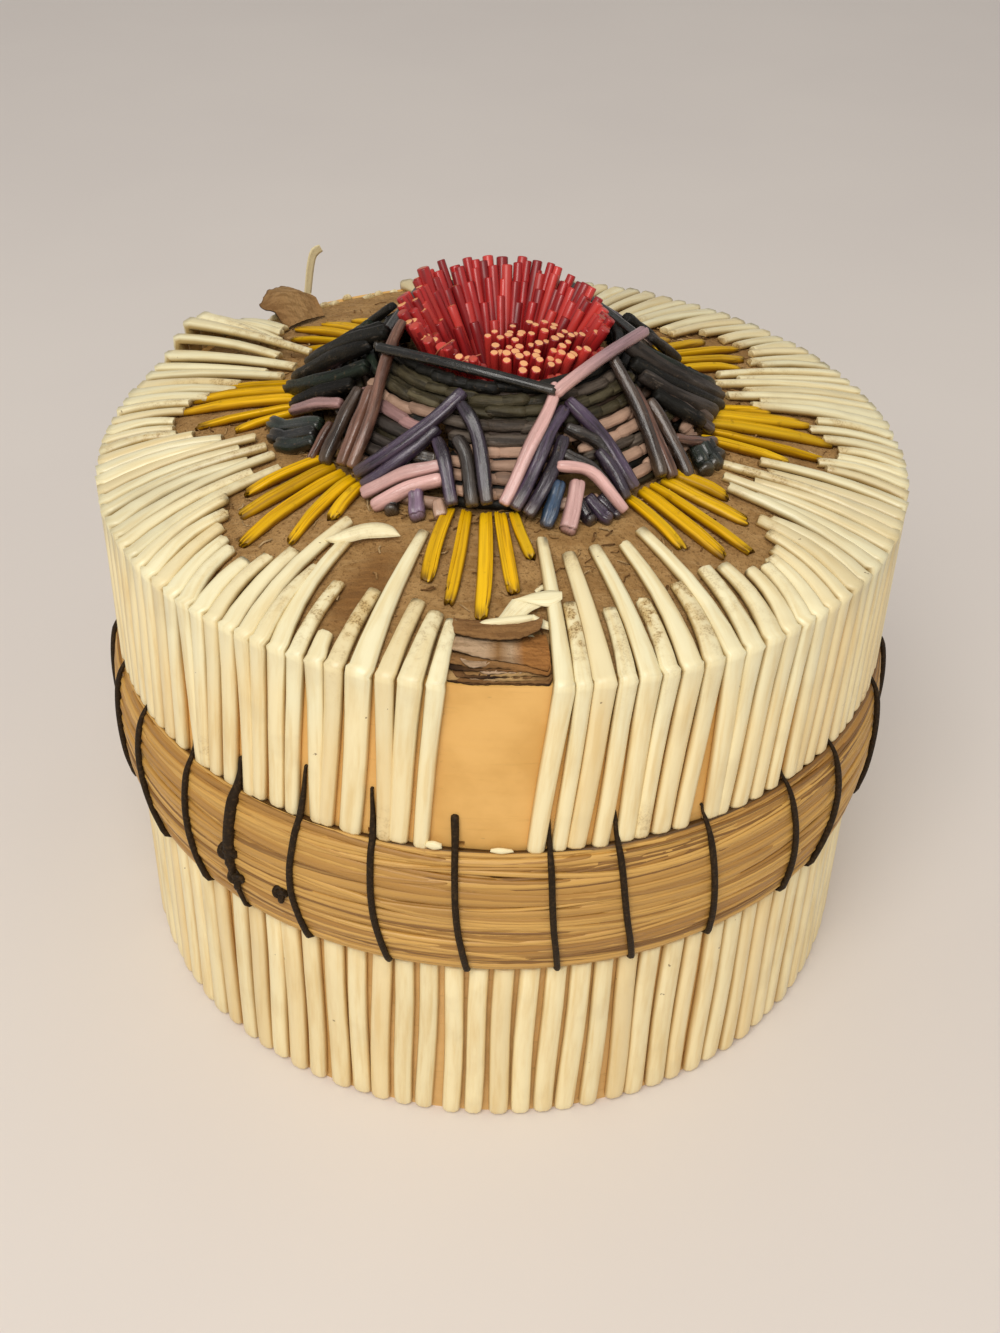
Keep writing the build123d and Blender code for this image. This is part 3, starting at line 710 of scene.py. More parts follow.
def lid_quill(number, angle, rim_width, reach, tip_angle, stain, torn, slim_top, top_shade):
    """One quill from its foot above the band, over the rim, to its inner end on the top."""
    foot_turn = angle + SIDE_LEAN + chance(-0.15, 0.15)
    foot_turn = apart(foot_turn, angle + STITCH_LEAN, STITCH_ANGLES, THREAD_ROOM)
    foot = BAND_TOP + chance(-0.1, 0.15)
    side_z = np.array([foot, foot + 0.35, foot + 1.2, *SIDE_LEVELS, LID_RIM - CREASE])
    side_turn = np.interp(side_z, [foot, LID_RIM], [foot_turn, angle]) + 0.1 * np.sin(side_z / 4 + number)
    bend = polar(WALL_RADIUS, angle, LID_RIM + 0.03)
    top_r = UNDER - CREASE + (reach - UNDER + CREASE) * ON_TOP
    bow = float(np.interp(angle, BOW_ANGLES, BOWS, period=360)) * chance(0.6, 1.0)
    bow *= min(1.0, (UNDER - reach) / LONG_QUILL) ** 1.4
    arch = np.sin(np.pi * ON_TOP)
    top_turn = angle + (tip_angle - angle) * ON_TOP + bow * arch
    sag = 0.4 * arch * chance(0.1, 1.0) + 0.4 * ON_TOP * chance(0, 1)
    laid = polar(top_r, top_turn, dome(top_r) + ABOVE_TOP + sag)
    path = np.vstack([polar(UNDER, side_turn, side_z), bend, laid])
    tipped = polar(1, top_turn + 90, 0) * chance(-0.22, 0.22)
    top_lift = unit(polar(TOP_SLOPE, top_turn, 1.0)) + tipped
    lift = unit(np.vstack([polar(1, side_turn, 0), polar(1, angle, 1.0), top_lift]))
    rise = PEELED_RISE * math.exp(-(((angle - PEELED) / PEELED_SPAN) ** 2))
    if TORN_BACK[0] < angle < TORN_BACK[1]:
        rise -= SUNK
    peel = np.clip((side_z - PEELED_FROM) / PEELED_OVER, 0, 1)
    path[:, 2] += rise * np.concatenate([peel, [1], 1 - 0.8 * ON_TOP])
    tip_width = min(rim_width * TIP_SHARE, TIP_WIDTH + TIP_GROWTH * (reach - INNERMOST)) * chance(0.92, 1.06)
    middle = 0.5 * (rim_width + tip_width) - 0.04
    slim = chance(0.87, 0.97)
    slims = [slim - 0.04, slim, 0.5 + slim / 2, 1]
    side_width = rim_width * np.interp(side_z, [foot, SIDE_LEVELS[0], SIDE_LEVELS[-1], LID_RIM], slims)
    top_widths = [rim_width, middle * slim_top, tip_width * slim_top]
    top_width = np.interp(ON_TOP, [0, 0.5, 1], top_widths) * chance(0.9, 1.0)
    wide = np.concatenate([side_width, [rim_width], top_width])
    top_tall = np.interp(ON_TOP, [0, 0.3, 1], [0.9, 0.86, 0.74])
    tall = np.concatenate([[0.75], [LID_TALL] * 6, [LID_TALL * MITRE], top_tall]) * chance(0.94, 1.1)
    lid.add(path, lift, wide, tall, LID_SECTIONS, (chance(), 0.0), ends=(0, 0.2), blunt=0.8, torn=torn)
    along = lid.tones[-1][:, ALONG]
    tip_stain = np.clip((along - chance(0.62, 0.72)) * 4.5, 0, 1) * stain
    end_stain = np.clip((along - 0.93) * 14, 0, 1) * chance(0.2, 0.9)
    foot_stain = np.clip((chance(0.04, 0.14) - along) * 9.0, 0, 0.45) if chance() < STAINED_FEET else 0.0
    lid.tones[-1][:, STAIN_AND_SHADE] = np.maximum(np.maximum(tip_stain, foot_stain), end_stain)
    on_side = (along < 0.5)[:, None]
    edges = np.tile(np.array(DOMED)[:, 1] < LOW_EDGE, len(along) // len(DOMED))[:, None]
    # Sides take the side tint; the top takes a painted shade that darkens it
    lid.tints[-1][:, :3] *= np.where(on_side, SIDE_TINT, top_shade)
    # Painted shade on the low edges, darker on the top than on the side
    lid.tints[-1][:, :3] *= np.where(edges, np.where(on_side, EDGE_SHADE, TOP_EDGE_SHADE), 1.0)


for number, (angle, rim_width, reach, tip_angle, stain) in enumerate(FRONT_QUILLS):
    lid_quill(number, angle, rim_width, reach + chance(-0.15, 0.15), tip_angle, stain, 0.55, 1.0, 1.0)
for number, angle in enumerate(np.linspace(OTHERS_FROM, OTHERS_TO, OTHERS_COUNT) % 360):
    angle += chance(-0.2, 0.2)
    tip_angle = angle + float(np.interp(angle, DRIFT_ANGLES, DRIFTS, period=360))
    from_fan = min(abs(turn_from(fan, tip_angle)) for fan in FAN_ANGLES)
    reach = float(np.interp(from_fan, REACH_TURNS, REACHES))
    reach += (ODD_SHORT if number % 2 and reach < ODD_WITHIN else 0.0) + chance(-0.7, 0.7)
    if TORN_BACK[0] < angle < TORN_BACK[1]:
        reach = chance(*TORN_REACH)
    tip_angle = angle + (tip_angle - angle) * (DRIFT_FROM - reach) / DRIFT_OVER
    stain = chance(0.2, 0.7) if chance() < STAINED_TIPS else 0.0
    tip_angle += chance(-0.7, 0.7)
    # The top of each of these quills is darkened at random, as painted shade for the gaps between them
    rim_width, slim_top, top_shade = chance(1.95, 2.15), chance(0.74, 0.98), chance(0.84, 0.98)
    lid_quill(number, angle, rim_width, reach, tip_angle, stain, 0.3, slim_top, top_shade)
lid.build("lid_quill_sheath", WHITE, "lid_quills")

# Yellow fans: radius and angle of each tip from the fan's middle. A sliver splits off each leaf
FAN_ROOT = 22.0
FAN_ROOTS = (-10.9, -5.9, -1.2, 2.9, 6.4)
PLAIN_FAN = ((31.6, -9.5), (34.4, -4.8), (36.0, 0.3), (33.1, 5.2), (28.6, 9.2))
FAN_TIPS = {
    1: ((31.7, -9.9), (34.2, -5.1), (35.5, 0.3), (32.5, 5.5), (27.7, 9.4)),
    2: ((30.7, -9.4), (33.2, -4.1), (34.8, 0.8), (31.7, 7.0), (27.8, 10.5)),
    3: ((31.7, -8.0), (35.2, -3.2), (36.8, 3.0), (34.5, 8.8), (30.4, 12.0)),
    7: ((33.5, -12.0), (35.6, -7.2), (37.0, -2.9), (34.0, 3.7), (29.6, 8.3)),
    8: ((30.9, -12.0), (33.1, -6.6), (35.2, -0.1), (32.3, 6.3), (27.2, 8.3)),
}
# Painted shade on the low edges of the yellow leaves
LEAF_EDGE_SHADE = (0.46, 0.38, 0.32)
LEAF_SHARES = np.linspace(0, 1, 11)
LEAF_ARCH = np.sin(np.pi * LEAF_SHARES)
LEAF_SWELL = np.interp(LEAF_SHARES, [0, 0.15, 0.45, 0.8, 0.95, 1], [1.12, 1.2, 1.3, 1.34, 1.26, 1.14])
LEAF_TALL = np.interp(LEAF_SHARES, [0, 0.2, 0.7, 1], [0.8, 0.98, 0.9, 0.55])
FRONT_FANS = (1, 8)
SLIM_FAN = 0.84
SLIVER_AWAY, SLIVER_WIDE, SLIVER_RISE = 0.3, 0.46, 0.12
for fan_number, fan in enumerate(FAN_ANGLES, start=1):
    leaves = Strips()
    for (reach, tip), root in zip(FAN_TIPS.get(fan_number, PLAIN_FAN), FAN_ROOTS):
        reach = reach + chance(-0.1, 0.4)
        bow = 0.5 * LEAF_ARCH * chance(-1, 1)
        crown = 0.22 * LEAF_ARCH * chance(0.3, 1)
        swell = LEAF_SWELL * chance(0.88, 1.1) * (1.0 if fan_number in FRONT_FANS else SLIM_FAN)
        side = 1 if chance() < 0.5 else -1
        sliver = (side * SLIVER_AWAY, SLIVER_WIDE, SLIVER_RISE, chance(-0.3, 1.4))
        for split, part, rise, short in ((0.0, 1.0, 0.0, 0.0), sliver):
            radius = FAN_ROOT + (reach - short - FAN_ROOT) * LEAF_SHARES
            turn = fan + root + (tip - root) * LEAF_SHARES + bow + np.degrees(split * swell / radius)
            path = polar(radius, turn, dome(radius) + 0.03 + crown + rise)
            tall = LEAF_TALL * chance(0.9, 1.08)
            lift = polar(TOP_SLOPE, turn, 1) + polar(0.5 * split, turn + 90, 0)
            section = RIDGED if chance() < 0.9 else LEAF
            tone, tint = (chance(), 0), np.ones(3) * chance(0.78, 1.08)
            leaves.add(
                path, lift, swell * part, tall, section, tone, tint,
                ends=(0.1, 0.4), blunt=0.62, grime=LEAF_EDGE_SHADE, torn=0.7,
            )
    leaves.build(f"fan_leaves_{fan_number}", YELLOW, f"yellow_fan_{fan_number}")


def barrel(height):
    """Radius of the sweetgrass band at a height."""
    share = np.clip((height - BAND_FOOT) / BAND_HEIGHT * 2 - 1, -1, 1)
    return BAND_BORE + BAND_EDGE + (BAND_THICK - BAND_EDGE) * (1 - np.abs(share) ** 2.6)


# Sweetgrass: a thin core ring under overlapping blades, a little off the wall at its top
BAND_GAP = 0.42  # to the wall
CORE_DEPTH = 0.42  # of the ring below the blades
CORE_TONE = (0.75, 0)
# The seam along the top beside the wall is painted dark, as shade in the gap there
SEAM = 0.35  # depth of the dark seam beside the wall
SEAM_SHADE = 0.9
BESIDE_WALL = 0.75
BLADE_COUNT = 430
GOLDEN_SHARE = 0.61803
band = Strips()
ring_turns = np.linspace(0, 360, 180, endpoint=False)
core_z = np.linspace(BAND_FOOT + 0.15, BAND_TOP - 0.15, 15)
core = [polar(BAND_BORE + 0.02, ring_turns, core_z[0])]
core += [polar(barrel(z) - CORE_DEPTH, ring_turns, z) for z in core_z[:-1]]
core += [polar(BAND_BORE + BAND_GAP, ring_turns, core_z[-1])]
core += [polar(BAND_BORE + BAND_GAP - 0.1, ring_turns, core_z[-3])]
core.append(core[0])
band.grid(core, CORE_TONE, closed=True)
for number in range(BLADE_COUNT):
    span = chance(45, 170)
    start = chance(0, 360)
    wide = 0.45 + 1.3 * chance() ** 1.6
    room = 0.12 + wide * 0.46
    level = BAND_FOOT + BAND_HEIGHT * ((number * GOLDEN_SHARE + chance(-0.02, 0.02)) % 1.0)
    slope = chance(-2.2, 2.2) * (2.6 if chance() < 0.3 else 1.0)
    share = np.linspace(0, 1, max(8, int(span / 3.2)))
    height = level + slope * (share - 0.5) + 0.42 * np.sin(share * chance(4, 13) + chance(0, 6))
    height = np.clip(height, BAND_FOOT + room, BAND_TOP - room)
    turn = start + span * share
    radius = barrel(height) - chance(0.08, 0.55)
    tilt = (height - BAND_MIDDLE) / (BAND_HEIGHT / 2)
    lean = 0.45 * np.sign(tilt) * np.abs(tilt) ** 2.5
    lift = unit(polar(1, turn, lean) + polar(0, 0, chance(-0.25, 0.25)))
    wide = wide * np.interp(share, [0, 0.08, 0.9, 1], [0.5, 1, 1, 0.4])
    tone = (chance(), 0)
    band.add(polar(radius, turn, height), lift, wide, chance(0.3, 0.5), BLADE, tone, ends=(0.8, 1.2))
# Painted shade along the top of the band, beside the wall
for verts, tones in zip(band.verts, band.tones):
    near_wall = np.hypot(verts[:, 0], verts[:, 1]) < BAND_BORE + BESIDE_WALL
    tones[:, STAIN_AND_SHADE] = np.where(near_wall & (verts[:, 2] > BAND_TOP - SEAM), SEAM_SHADE, 0.0)
band.build("sweetgrass_blades", GRASS, "sweetgrass_band")

# Stitches: from a hole above the band, over it, under its lower edge and back up inside
THREAD_SIZE = 0.72
THREAD_END = 0.48
THREAD_STEPS = 56
THREAD_OUT = 0.56  # middle of the thread outside the band
INSIDE = WALL_BORE - 0.26
HEAD_BARE, HEAD_BETWEEN = 0.85, 0.36  # thickness at the hole, on bare bark and between quills
shares = np.linspace(0, 1, THREAD_STEPS)
threads = list(FRONT_STITCHES)
for angle in OTHER_STITCHES:
    slant = chance(-0.6, 1.4)
    threads.append((chance(1.4, 4.0), angle, angle + slant / 2, angle + slant))
stitches = Strips()
for number, (rise, top, middle, foot) in enumerate(threads):
    course = [(WALL_RADIUS - 0.5, BAND_TOP + rise), (WALL_RADIUS + 0.22, BAND_TOP + rise - 0.1)]
    course += [(WALL_RADIUS + 0.34, BAND_TOP + rise * 0.5), (BAND_BORE + BESIDE_WALL, BAND_TOP + 0.3)]
    for share in (0.93, 0.8, 0.62, 0.42, 0.24, 0.1, 0.02):
        z = BAND_FOOT + BAND_HEIGHT * share
        course.append((float(barrel(z)) + THREAD_OUT, z))
    course += [(BAND_BORE + 0.3, BAND_FOOT - 0.1), (WALL_BORE + 0.5, BAND_FOOT - 0.16)]
    course += [(INSIDE, BAND_FOOT + 0.3), (INSIDE, 30), (INSIDE, 36), (INSIDE, BAND_TOP - 0.4)]
    course.append((WALL_BORE + 0.1, BAND_TOP + 0.2))
    levels = (BAND_FOOT, BAND_MIDDLE, BAND_TOP + rise)
    points = [polar(r, np.interp(z, levels, (foot, middle, top)), z) for r, z in course]
    head = HEAD_BARE if BARE_FRONT[0] < top < BARE_FRONT[1] else HEAD_BETWEEN
    spots = [0, 0.03, 0.09, 0.14, 0.5, 1]
    sizes = [head, head, (head + THREAD_SIZE) / 2, THREAD_SIZE, THREAD_SIZE, THREAD_END]
    if number == KNOTTED_STITCH:
        spots = [0, 0.06, 0.14, 0.3, 0.42, 0.5, 1]
        sizes = [0.4, 0.6, 1.25, 1.3, 0.6, THREAD_END, THREAD_END]
    size = np.interp(shares, spots, sizes)
    path, across = smooth(points, THREAD_STEPS), polar(1, top + 90, 0)
    stitches.add(path, across, size, size, CORD, (chance(), 0), ends=(0.1, 0.1), blunt=0.6)
stitches.build("band_thread", THREAD, "band_stitches")

# Knots in the thread at the front left: trefoils at an angle and a height, with their size
KNOTS = ((232.6, 33.2, 1.2), (233.6, 29.9, 1.05), (241.3, 31.2, 0.9))
KNOT_THREAD = 0.74
KNOT_HALVES = (0.24, 0.33, 0.26)
t = np.linspace(0, 2 * math.pi, 41)
trefoil = [np.sin(t) + 2 * np.sin(2 * t), np.cos(t) - 2 * np.cos(2 * t), -np.sin(3 * t)]
trefoil = np.stack(trefoil, -1) * KNOT_HALVES
knots = Strips()
for angle, z, size in KNOTS:
    out = polar(1, angle, 0)
    middle = polar(float(barrel(z)) + 0.5, angle, z)
    path = middle + size * trefoil @ np.stack([polar(1, angle + 90, 0), UPWARDS, out])
    lift = unit(path - middle + out * 0.3)
    thick = KNOT_THREAD * size
    knots.add(path, lift, thick, thick, CORD, (chance(), 0), ends=(0, 0))
knots.build("thread_knot_lumps", THREAD, "thread_knots")

# Dyes of the flower
DYES = {
    "violet": (0.070, 0.044, 0.080),
    "plum": (0.040, 0.027, 0.043),
    "lavender": (0.215, 0.140, 0.205),
    "slate": (0.056, 0.045, 0.038),
    "pink": (0.74, 0.44, 0.40),
    "mauve": (0.38, 0.225, 0.24),
    "rose": (0.42, 0.235, 0.22),
    "brown": (0.078, 0.046, 0.029),
    "rust": (0.195, 0.092, 0.060),
    "tan": (0.470, 0.295, 0.205),
    "olive": (0.068, 0.055, 0.028),
    "moss": (0.120, 0.098, 0.052),
    "grey": (0.130, 0.100, 0.076),
    "black": (0.012, 0.011, 0.008),
    "green": (0.014, 0.023, 0.014),
    "blue": (0.045, 0.090, 0.165),
}

# Rows woven across each gap above a fan: dyes from the top row down
ROW_DYES = (
    "black olive olive grey grey tan tan tan tan",
    "black grey moss olive tan tan grey tan tan",
    "black black slate slate brown brown rust rust tan",
    "black black olive olive grey grey tan tan tan",
    "black olive olive grey slate tan tan tan tan",
    "black black black olive grey grey tan tan tan",
    "black black green black olive slate rose rose tan",
    "black olive moss tan rose slate slate slate tan",
)
ROW_SHARES = (-0.14, -0.02, 0.10, 0.22, 0.34, 0.46, 0.58, 0.71, 0.85)
# A dark quill lies under each row; its dark dye also stands in for the shade in the gaps between rows
ROW_SHADES = ("black", "black", "olive", "brown")
SHADE_SHIFT, SHADE_DEEP, SHADE_SIZE = 0.055, -1.0, 1.35
# Painted shade on the low edges of woven rows
ROW_EDGE_SHADE = (0.3, 0.27, 0.24)
ROW_STEPS = 14
ROW_PAST = 5.5  # degrees that a row runs past the outermost leg
ROW_LAP = 1.6  # degrees that its lengths overlap at each end
LEG_TOP_TURN = 5.0
LEG_FOOT_TURN = 3.5


def leg_turn(fan, petal, share):
    """Degrees from a fan's middle to the outermost leg on a petal's side."""
    top = abs(turn_from(fan, petal)) - LEG_TOP_TURN
    return top + (LEG_FOOT_TURN - top) * share


def woven(strips, start, end, level, deep, dye, size):
    """One length of a woven row: a rough quill that runs nearly level."""
    turns = np.linspace(start, end, ROW_STEPS)
    share = np.linspace(-1, 1, ROW_STEPS)
    levels = level + share * chance(-0.012, 0.012) + 0.008 * share**2 * chance(-1, 1)
    depths = deep + 0.12 * share * chance(-1, 1) - 0.2 * share**4
    sizes = size * (1 - 0.2 * share**4) * (1 + 0.05 * np.sin(share * chance(4, 9) + chance(0, 6)))
    tint = np.array(DYES[dye]) * chance(0.65, 1.25)
    path, lift, tone = flank(turns, levels, depths), flank_lift(turns), (chance(), 0.2)
    strips.add(path, lift, sizes, sizes * 0.85, ROUND, tone, tint, blunt=0.5, grime=ROW_EDGE_SHADE)


for fan_number, fan in enumerate(FAN_ANGLES, start=1):
    rows = Strips()
    before, after = PETAL_ANGLES[fan_number - 2], PETAL_ANGLES[fan_number - 1]
    for share, dye in zip(ROW_SHARES, ROW_DYES[fan_number - 1].split()):
        start = fan - leg_turn(fan, before, share) - ROW_PAST + chance(-1.5, 1.5)
        end = fan + leg_turn(fan, after, share) + ROW_PAST + chance(-1.5, 1.5)
        shade = ROW_SHADES[int(chance(0, 3.99))]
        woven(rows, start, end, share + SHADE_SHIFT, SHADE_DEEP, shade, SHADE_SIZE)
        count = max(2, round((end - start) / chance(12, 20)))
        cuts = (np.arange(count + 1) + draw.uniform(-0.25, 0.25, count + 1)) / count
        cuts = start + (end - start) * cuts
        for a, b in zip(cuts[:-1] - ROW_LAP, cuts[1:] + ROW_LAP):
            level, deep = share + chance(-0.02, 0.02), chance(-0.4, 0.0)
            woven(rows, a, b, level, deep, dye, chance(1.15, 1.5))
    rows.build(f"woven_rows_{fan_number}", WEAVE, f"weave_rows_{fan_number}")

# Quills of each petal: dye, width, extra lift, and angle and share down the flank at each point
LEGS = {
    1: (
        ("pink", 1.4, 0.45, ((292.6, -0.1), (289.6, 0.03), (278.6, 0.45), (270.4, 0.97))),
        ("violet", 1.5, 0.0, ((294.0, 0.12), (284.9, 0.37), (273.2, 1.0))),
        ("plum", 1.5, 0.0, ((290.6, 0.38), (285.2, 0.64), (276.4, 1.06))),
        ("violet", 1.5, 0.2, ((295.6, 0.06), (303.5, 0.47), (306.4, 1.0))),
        ("slate", 1.45, 0.0, ((292.2, 0.29), (301.6, 0.49), (303.6, 0.72))),
        ("plum", 1.5, 0.0, ((300.6, 0.56), (302.8, 0.8), (303.4, 1.06))),
        ("slate", 1.4, -0.1, ((289.2, 0.52), (296.5, 0.72), (300.0, 0.98))),
        ("pink", 1.3, 0.7, ((285.8, 0.64), (295.4, 0.76), (300.8, 1.17))),
    ),
    2: (
        ("brown", 1.5, 0.2, ((328.4, -0.2), (322.9, 0.39), (316.2, 1.0))),
        ("rust", 1.35, 0.0, ((327.8, 0.18), (323.6, 0.6), (319.9, 1.06))),
        ("brown", 1.5, 0.0, ((331.7, 0.36), (328.4, 0.75), (324.9, 1.15))),
        ("rust", 1.3, 0.1, ((329.7, 0.78), (336.6, 0.95), (344.4, 1.12))),
        ("brown", 1.4, 0.0, ((341.0, 0.1), (348.0, 0.55), (352.0, 1.02))),
        ("brown", 1.4, 0.0, ((340.0, 0.45), (345.0, 0.75), (348.0, 1.06))),
    ),
    3: (
        ("slate", 1.95, 0.7, ((339.0, -0.16), (352.0, 0.45), (8.0, 1.14))),
        ("black", 1.95, 0.3, ((337.0, 0.0), (349.5, 0.56), (3.5, 1.14))),
        ("slate", 1.9, 0.15, ((336.6, 0.14), (346.5, 0.6), (357.4, 1.04))),
        ("black", 1.7, 0.0, ((336.0, 0.36), (341.0, 0.62), (347.0, 0.92))),
        ("green", 1.9, 0.5, ((343.0, -0.14), (355.0, 0.36), (12.5, 1.08))),
        ("black", 1.5, 0.0, ((22.0, 0.0), (29.0, 0.5), (34.5, 1.03))),
        ("slate", 1.5, 0.0, ((21.5, 0.36), (26.5, 0.7), (30.5, 1.06))),
    ),
    6: (
        ("black", 1.95, 0.7, ((197.0, -0.2), (180.0, 0.25), (163.0, 0.98))),
        ("black", 1.95, 0.4, ((192.0, 0.0), (178.0, 0.5), (165.5, 1.18))),
        ("green", 1.9, 0.3, ((203.0, 0.14), (187.0, 0.66), (169.0, 1.24))),
        ("black", 1.8, 0.1, ((202.0, 0.35), (191.0, 0.72), (183.6, 1.05))),
        ("black", 1.9, 0.5, ((190.0, -0.16), (174.0, 0.3), (159.0, 1.06))),
        ("black", 1.5, 0.0, ((152.0, 0.0), (145.0, 0.5), (139.5, 1.03))),
        ("green", 1.5, 0.0, ((152.5, 0.36), (147.5, 0.7), (143.5, 1.06))),
    ),
    7: (
        ("rust", 1.35, 0.4, ((197.5, -0.37), (210.1, -0.02), (222.0, 0.46), (226.4, 0.96))),
        ("rust", 1.4, 0.0, ((212.0, 0.24), (218.0, 0.6), (222.0, 0.98))),
        ("brown", 1.55, 0.0, ((207.0, 0.33), (212.0, 0.68), (216.5, 1.06))),
        ("rust", 1.0, 0.0, ((206.8, 0.74), (209.0, 0.93), (210.9, 1.12))),
        ("rose", 1.35, 0.3, ((205.8, 0.55), (196.5, 0.74), (187.0, 1.06))),
    ),
    8: (
        ("violet", 1.55, 0.3, ((253.2, -0.03), (241.0, 0.45), (228.5, 0.99))),
        ("violet", 1.5, 0.0, ((247.2, 0.33), (239.5, 0.68), (231.6, 1.05))),
        ("violet", 1.5, 0.0, ((247.8, 0.43), (252.5, 0.62), (257.5, 1.0))),
        ("slate", 1.55, 0.0, ((254.2, 0.38), (259.0, 0.57), (262.7, 0.99))),
        ("plum", 1.5, 0.3, ((253.0, 0.08), (259.2, 0.25), (263.2, 0.5), (266.4, 0.97))),
        ("pink", 1.5, 0.0, ((251.6, 0.66), (241.5, 0.83), (233.0, 1.12))),
        ("pink", 1.6, 0.1, ((253.2, 0.78), (245.1, 0.92), (237.4, 1.19))),
    ),
}
PLAIN_STARTS = (0.0, 0.42, 0.66)
PLAIN_PITCH = 1.5
for petal, dyes in ((4, ("violet", "plum", "lavender")), (5, ("plum", "violet", "rose"))):
    made = []
    for fan, side in ((FAN_ANGLES[petal - 1], 1), (FAN_ANGLES[petal], -1)):
        for step, begin in enumerate(PLAIN_STARTS):
            course = []
            for share in (begin, (begin + 1) / 2, 1.02):
                shift = math.degrees(PLAIN_PITCH * step / (MOUND_TOP + MOUND_RUN * share))
                turn = leg_turn(fan, PETAL_ANGLES[petal - 1], share) + shift
                course.append((fan + side * turn, share))
            made.append((dyes[step], 1.5, 0.0, course))
    LEGS[petal] = made
# Short quills that fill each petal, in the same terms
FILLS = {
    1: (
        ("blue", 1.55, -0.1, ((286.2, 0.77), (280.6, 1.17))),
        ("pink", 1.75, 0.3, ((291.0, 0.80), (285.0, 1.27))),
        ("plum", 1.5, -0.3, ((290.0, 0.94), (292.8, 1.24))),
        ("violet", 1.5, -0.2, ((293.0, 0.94), (297.2, 1.26))),
        ("plum", 1.4, -0.3, ((296.2, 0.96), (300.4, 1.22))),
        ("slate", 1.4, -1.2, ((284.5, 0.62), (297.5, 0.64))),
        ("tan", 1.4, -1.1, ((283.0, 0.95), (297.0, 0.98))),
    ),
    2: (
        ("green", 1.9, -0.2, ((335.4, 0.98), (330.4, 1.28))),
        ("green", 1.9, -0.1, ((338.4, 1.0), (334.6, 1.33))),
        ("black", 1.8, -0.2, ((341.4, 1.02), (338.6, 1.32))),
        ("olive", 1.4, -1.2, ((329.0, 0.6), (343.0, 0.62))),
        ("tan", 1.4, -1.1, ((328.0, 0.9), (344.0, 0.92))),
    ),
    7: (
        ("green", 1.9, 0.0, ((204.4, 0.82), (195.0, 1.08), (187.0, 1.36))),
        ("black", 1.8, 0.1, ((205.6, 0.9), (199.0, 1.12), (193.0, 1.38))),
        ("green", 1.8, -0.1, ((207.2, 0.96), (202.0, 1.16), (197.6, 1.36))),
        ("slate", 1.4, -1.1, ((192.0, 0.6), (209.0, 0.62))),
    ),
    8: (
        ("lavender", 1.7, -0.2, ((246.5, 0.92), (250.0, 1.21))),
        ("slate", 1.5, -0.3, ((240.6, 1.0), (243.0, 1.24))),
        ("tan", 1.4, -0.4, ((253.0, 0.96), (255.4, 1.14))),
        ("slate", 1.45, -1.0, ((236.0, 0.62), (249.0, 0.6))),
        ("slate", 1.45, -1.0, ((235.0, 0.76), (251.0, 0.74))),
        ("tan", 1.4, -1.0, ((239.0, 1.0), (256.0, 0.98))),
    ),
}
# Those behind have two outer stubs, a middle one and a quill across: dye, width, lift and shares
BACK_FILLS = (
    (3, ("black", 1.6, -0.3, 0.98, 1.26), ("green", 1.6, -0.3, 0.98, 1.28)),
    (4, ("pink", 1.6, -0.2, 0.96, 1.24), ("lavender", 1.5, -0.3, 0.98, 1.26)),
    (5, ("rose", 1.6, -0.2, 0.96, 1.24), ("violet", 1.5, -0.3, 0.98, 1.26)),
    (6, ("black", 1.6, -0.3, 0.98, 1.26), ("green", 1.6, -0.3, 0.98, 1.28)),
)
for petal, outer, inner in BACK_FILLS:
    FILLS[petal] = []
    across = ("slate", 1.4, -1.1, 0.7, 0.7)
    stubs = ((outer, -5, -4), (inner, 0, 0), (outer, 5, 4), (across, -9, 9))
    for (dye, wide, extra, high, low), begin, end in stubs:
        middle = PETAL_ANGLES[petal - 1]
        FILLS[petal].append((dye, wide, extra, ((middle + begin, high), (middle + end, low))))
QUILL_STEPS = 14
QUILL_LIFT = 1.1  # above the flank
QUILL_ROOM = 0.08  # at least, above the bark
QUILL_FLAT = 0.74
RIDGED_SHARE = 0.65
# Painted shade on the low edges of the petal quills
LEG_EDGE_SHADE = (0.5, 0.45, 0.42)
DULL_PETALS = (3, 6)


def flower_quill(strips, dye, wide, extra, course):
    """One flower quill through angle and share points, kept above the lid's bark."""
    course = np.array(course, float)
    course[:, 0] = np.degrees(np.unwrap(np.radians(course[:, 0])))
    line = smooth(course, QUILL_STEPS)
    path = flank(line[:, 0], line[:, 1], QUILL_LIFT + extra)
    path[:, 2] = np.maximum(path[:, 2], dome(np.hypot(path[:, 0], path[:, 1])) + QUILL_ROOM)
    along = np.linspace(0, 1, QUILL_STEPS)
    wide = wide * np.interp(along, [0, 0.1, 0.5, 0.92, 1], [0.84, 0.96, 1.03, 1.0, 0.9])
    wide = wide * (1 + 0.05 * np.sin(along * chance(6, 14) + chance(0, 6)))
    tint = np.array(DYES[dye]) * chance(0.8, 1.2)
    section = RIDGED if chance() < RIDGED_SHARE else LEAF
    lift, tone = flank_lift(line[:, 0]), (chance(), 1)
    tall = wide * QUILL_FLAT
    strips.add(path, lift, wide, tall, section, tone, tint, ends=(0.3, 0.3), blunt=0.62, grime=LEG_EDGE_SHADE)


for petal in range(1, 9):
    legs, fill = Strips(), Strips()
    for strips, table in ((legs, LEGS), (fill, FILLS)):
        for quill in table[petal]:
            flower_quill(strips, *quill)
    horn = WEAVE if petal in DULL_PETALS else DYED
    for strips, name, node in ((legs, "petal_quills", "petal_legs"), (fill, "petal_stubs", "petal_fill")):
        strips.build(f"{name}_{petal}", horn, f"{node}_{petal}")

